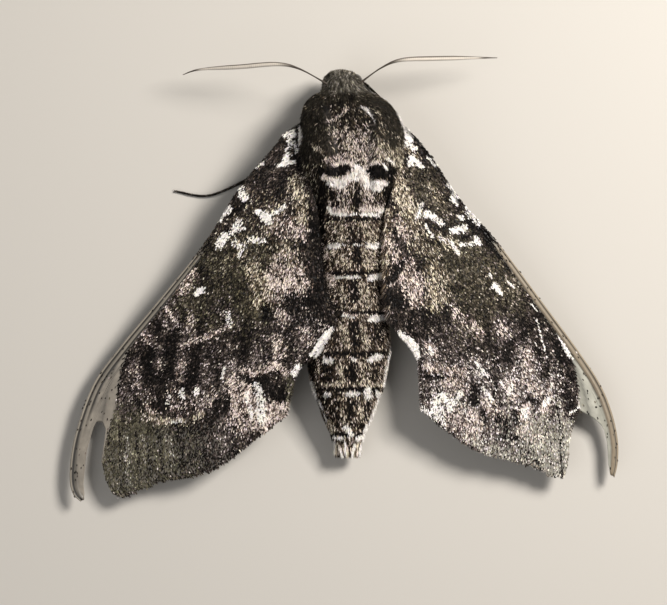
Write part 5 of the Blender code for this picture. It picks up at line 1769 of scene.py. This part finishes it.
def buildPalps():
    # their skin and hair join those of the body and the legs
    for side, sign in sides.items():
        place = tubePlace(leaned(np.array(palps["path"]) * (sign, 1, 1)), palps["radii"])
        addRod(skin, place, palps["rows"], palps["columns"], plainTint, palps["skinPatch"])
        layTubeHair(limbHair, place, palps["length"], palps["around"], palps["coat"], palpTint, 400 + sign,
                    palps["coatPatch"][side])


print("head")
buildEyes()
layBrow()
buildFeelers()
buildTongue()
limbHair = newPile()
buildPalps()


# each leg's points: hip, knee, ankle, the foot's arch and its end
legs = {
    "fore": {
        "left": (
            (2.2, 19.5, 2.1), (6.4, 21.5, 3.0), (4.6, 25.2, 1.2), (2.9, 27.0, 0.45), (1.1, 28.7, 0.2),
        ),
    },
    "mid": {
        "left": (
            (3.0, 17.0, 2.1), (9.0, 14.8, 4.2), (14.6, 14.3, 1.5), (20.4, 11.9, 0.45), (25.2, 12.5, 0.2),
        ),
        "right": (
            (3.0, 17.0, 2.1), (8.8, 12.8, 4.2), (13.4, 7.8, 1.5), (16.8, 4.6, 0.5), (20.2, 1.6, 0.2),
        ),
    },
    "hind": {
        "left": (
            (2.8, 12.4, 2.0), (8.4, 8.6, 4.1), (11.8, -0.6, 1.5), (13.8, -5.6, 0.5), (15.9, -10.8, 0.2),
        ),
    },
    "hipRise": 0.7,  # the hip's middle line runs this much higher, inside the thorax
    "femur": (0.45, 0.66, 0.58, 0.32),
    "tibia": (0.30, 0.46, 0.42, 0.30),
    "tarsus": (0.19, 0.16, 0.14, 0.13, 0.12, 0.10),
    "segments": {"femur": 1, "tibia": 1, "tarsus": 5},
    "rows": 20,
    "columns": 12,
    "lowest": 0.02,
    "coat": {"spacing": 0.16, "length": 0.42, "width": 0.13, "lift": 0.07, "rows": scaleRows},
    "tarsusCoat": {"spacing": 0.11, "length": 0.26, "width": 0.09, "lift": 0.03, "rows": scaleRows},
    "dark": 0.5,  # how many are dark
    "ring": (0.8, (0.9, 1.1, 0.08)),  # the pale ring: how much of it, and where in a segment
}
legPairs = ("fore", "mid", "hind")
legParts = ("femur", "tibia", "tarsus")


claws = {
    "length": 0.42,
    "splay": 26.0,
    "radii": (0.055, 0.045, 0.012),
    "inside": 0.1,
    "hump": 0.04,
    "hook": 0.14,
    "rows": 14,
    "columns": 8,
}


def addClaws(pile, arch, toe):
    # two hooked claws that spread from the end of a foot and touch the floor
    ahead = unit(toe - arch)
    for way in (-1, 1):
        turn = math.radians(claws["splay"]) * way
        side = np.array([ahead[1], -ahead[0], 0.0])
        lie = unit(ahead * (1, 1, 0)) * math.cos(turn) + side * math.sin(turn)
        reach = claws["length"] * lie
        start, middle = toe - claws["inside"] * lie, toe + 0.5 * reach + (0, 0, claws["hump"])
        knots = [start, middle, toe + 0.9 * reach, toe + reach - (0, 0, claws["hook"])]
        place = overFloor(tubePlace(np.array(knots), claws["radii"]))
        addRod(pile, place, claws["rows"], claws["columns"], clawTint, wholeMap)


def clawTint(t, turn, points):
    return mixInks(horn["claw"], horn["clawTip"], t)


def overFloor(place):
    # the same rod, flattened where it would dip into the floor
    def flat(t, turn):
        points = place(t, turn)
        points[:, 2] = np.maximum(points[:, 2], legs["lowest"])
        return points

    return flat


def legTintFor(segments):
    def tintAt(t, turn, dice):
        # dark, with a pale ring at the end of each segment
        kinds = np.full(len(t), kindNames.index("ground"))
        kinds[dice.random(len(t)) < legs["dark"]] = kindNames.index("dark")
        strength, ring = legs["ring"]
        kinds[dice.random(len(t)) < strength * between((t * segments) % 1, *ring)] = kindNames.index("grey")
        return tintOf(kinds, dice)

    return tintAt


def buildLegs():
    clawPile = newPile()
    limbs = [(pair, side, sign) for pair in legPairs for side, sign in sides.items()]
    cell = 0
    for pair, side, sign in limbs:
        hip, knee, ankle, arch, toe = np.array(legs[pair].get(side, legs[pair]["left"])) * (sign, 1, 1)
        hip = hip + (0, 0, legs["hipRise"])
        for part, path in zip(legParts, ([hip, knee], [knee, ankle], [ankle, arch, toe])):
            place = overFloor(tubePlace(np.array(path), legs[part]))
            addRod(skin, place, legs["rows"], legs["columns"], plainTint, (0.6, 0.1 + 0.04 * cell, 0.3, 0.03))
            length = float(np.linalg.norm(np.diff(np.array(path), axis=0), axis=1).sum())
            around = 2 * math.pi * max(legs[part])
            coat = legs["tarsusCoat"] if part == "tarsus" else legs["coat"]
            tintAt = legTintFor(legs["segments"][part])
            patch = (0.24 + 0.04 * cell, 0.02, 0.034, 0.9)
            layTubeHair(limbHair, place, length, around, coat, tintAt, 500 + cell, patch)
            cell += 1
        addClaws(clawPile, arch, toe)
    pieceFrom(limbHair, "limbScales", finishes["scales"], "leg_scales")
    pieceFrom(clawPile, "claws", finishes["claw"], "leg_scales")


print("legs")
buildLegs()

fleshNodes = ["head", "collar", "thorax", "tail_tuft"]
fleshNodes += [f"abdomen_{k}" for k in range(1, 7)]
fleshNodes += [f"{part}_{side}" for part in ("palp", "tegula") for side in sides]
fleshNodes += [f"leg_{pair}_{side}_{part}" for pair in legPairs for side in sides for part in legParts]
pieceFrom(skin, "mothSkin", finishes["skin"], "body_scales", fleshNodes)


# in metres and watts, but viewCentre and viewWidth are in the moth's millimetres
stage = {
    "floor": (0.50, 0.473, 0.432),
    "floorRoughness": 0.8,
    "floorReach": 0.6,
    "key": {"place": (-0.19, -0.13, 0.24), "size": 0.10, "power": 1.75, "colour": (1.0, 0.965, 0.92)},
    "fill": {"place": (0.20, 0.12, 0.32), "size": 0.35, "power": 0.45, "colour": (0.97, 0.98, 1.0)},
    "sky": (0.56, 0.55, 0.54),
    "skyStrength": 0.30,
    "lens": 220.0,
    "viewCentre": (-2.63, -3.42, 5.0),
    "viewWidth": 94.74,
    "clipStart": 0.01,
}


def buildStage():
    mesh = bpy.data.meshes.new("floor")
    reach = stage["floorReach"]
    corners = [(-reach, -reach, 0), (reach, -reach, 0), (reach, reach, 0), (-reach, reach, 0)]
    mesh.from_pydata(corners, [], [(0, 1, 2, 3)])
    floor = bpy.data.objects.new("floor", mesh)
    bpy.context.scene.collection.objects.link(floor)
    finish = bpy.data.materials.new("paleFloor")
    finish.use_nodes = True
    shader = finish.node_tree.nodes["Principled BSDF"]
    shader.inputs["Base Color"].default_value = (*stage["floor"], 1)
    shader.inputs["Roughness"].default_value = stage["floorRoughness"]
    mesh.materials.append(finish)
    for name in ("key", "fill"):
        lamp = bpy.data.lights.new(name, "AREA")
        lamp.energy = stage[name]["power"]
        lamp.size = stage[name]["size"]
        lamp.color = stage[name]["colour"]
        holder = bpy.data.objects.new(name, lamp)
        holder.location = stage[name]["place"]
        aim = -holder.location
        holder.rotation_euler = aim.to_track_quat("-Z", "Y").to_euler()
        bpy.context.scene.collection.objects.link(holder)
    bpy.context.scene.view_settings.view_transform = "Standard"
    world = bpy.data.worlds.new("room")
    world.use_nodes = True
    sky = world.node_tree.nodes["Background"]
    sky.inputs["Color"].default_value = (*stage["sky"], 1)
    sky.inputs["Strength"].default_value = stage["skyStrength"]
    bpy.context.scene.world = world
    lens = bpy.data.cameras.new("camera")
    lens.lens = stage["lens"]
    lens.clip_start = stage["clipStart"]
    camera = bpy.data.objects.new("camera", lens)
    target = toFloor([stage["viewCentre"]])[0]
    above = stage["viewWidth"] * 0.001 * lens.lens / lens.sensor_width
    camera.location = (target[0], target[1], target[2] + above)
    camera.rotation_euler = (0, 0, math.pi)
    bpy.context.scene.collection.objects.link(camera)
    bpy.context.scene.camera = camera


print("stage")
buildStage()
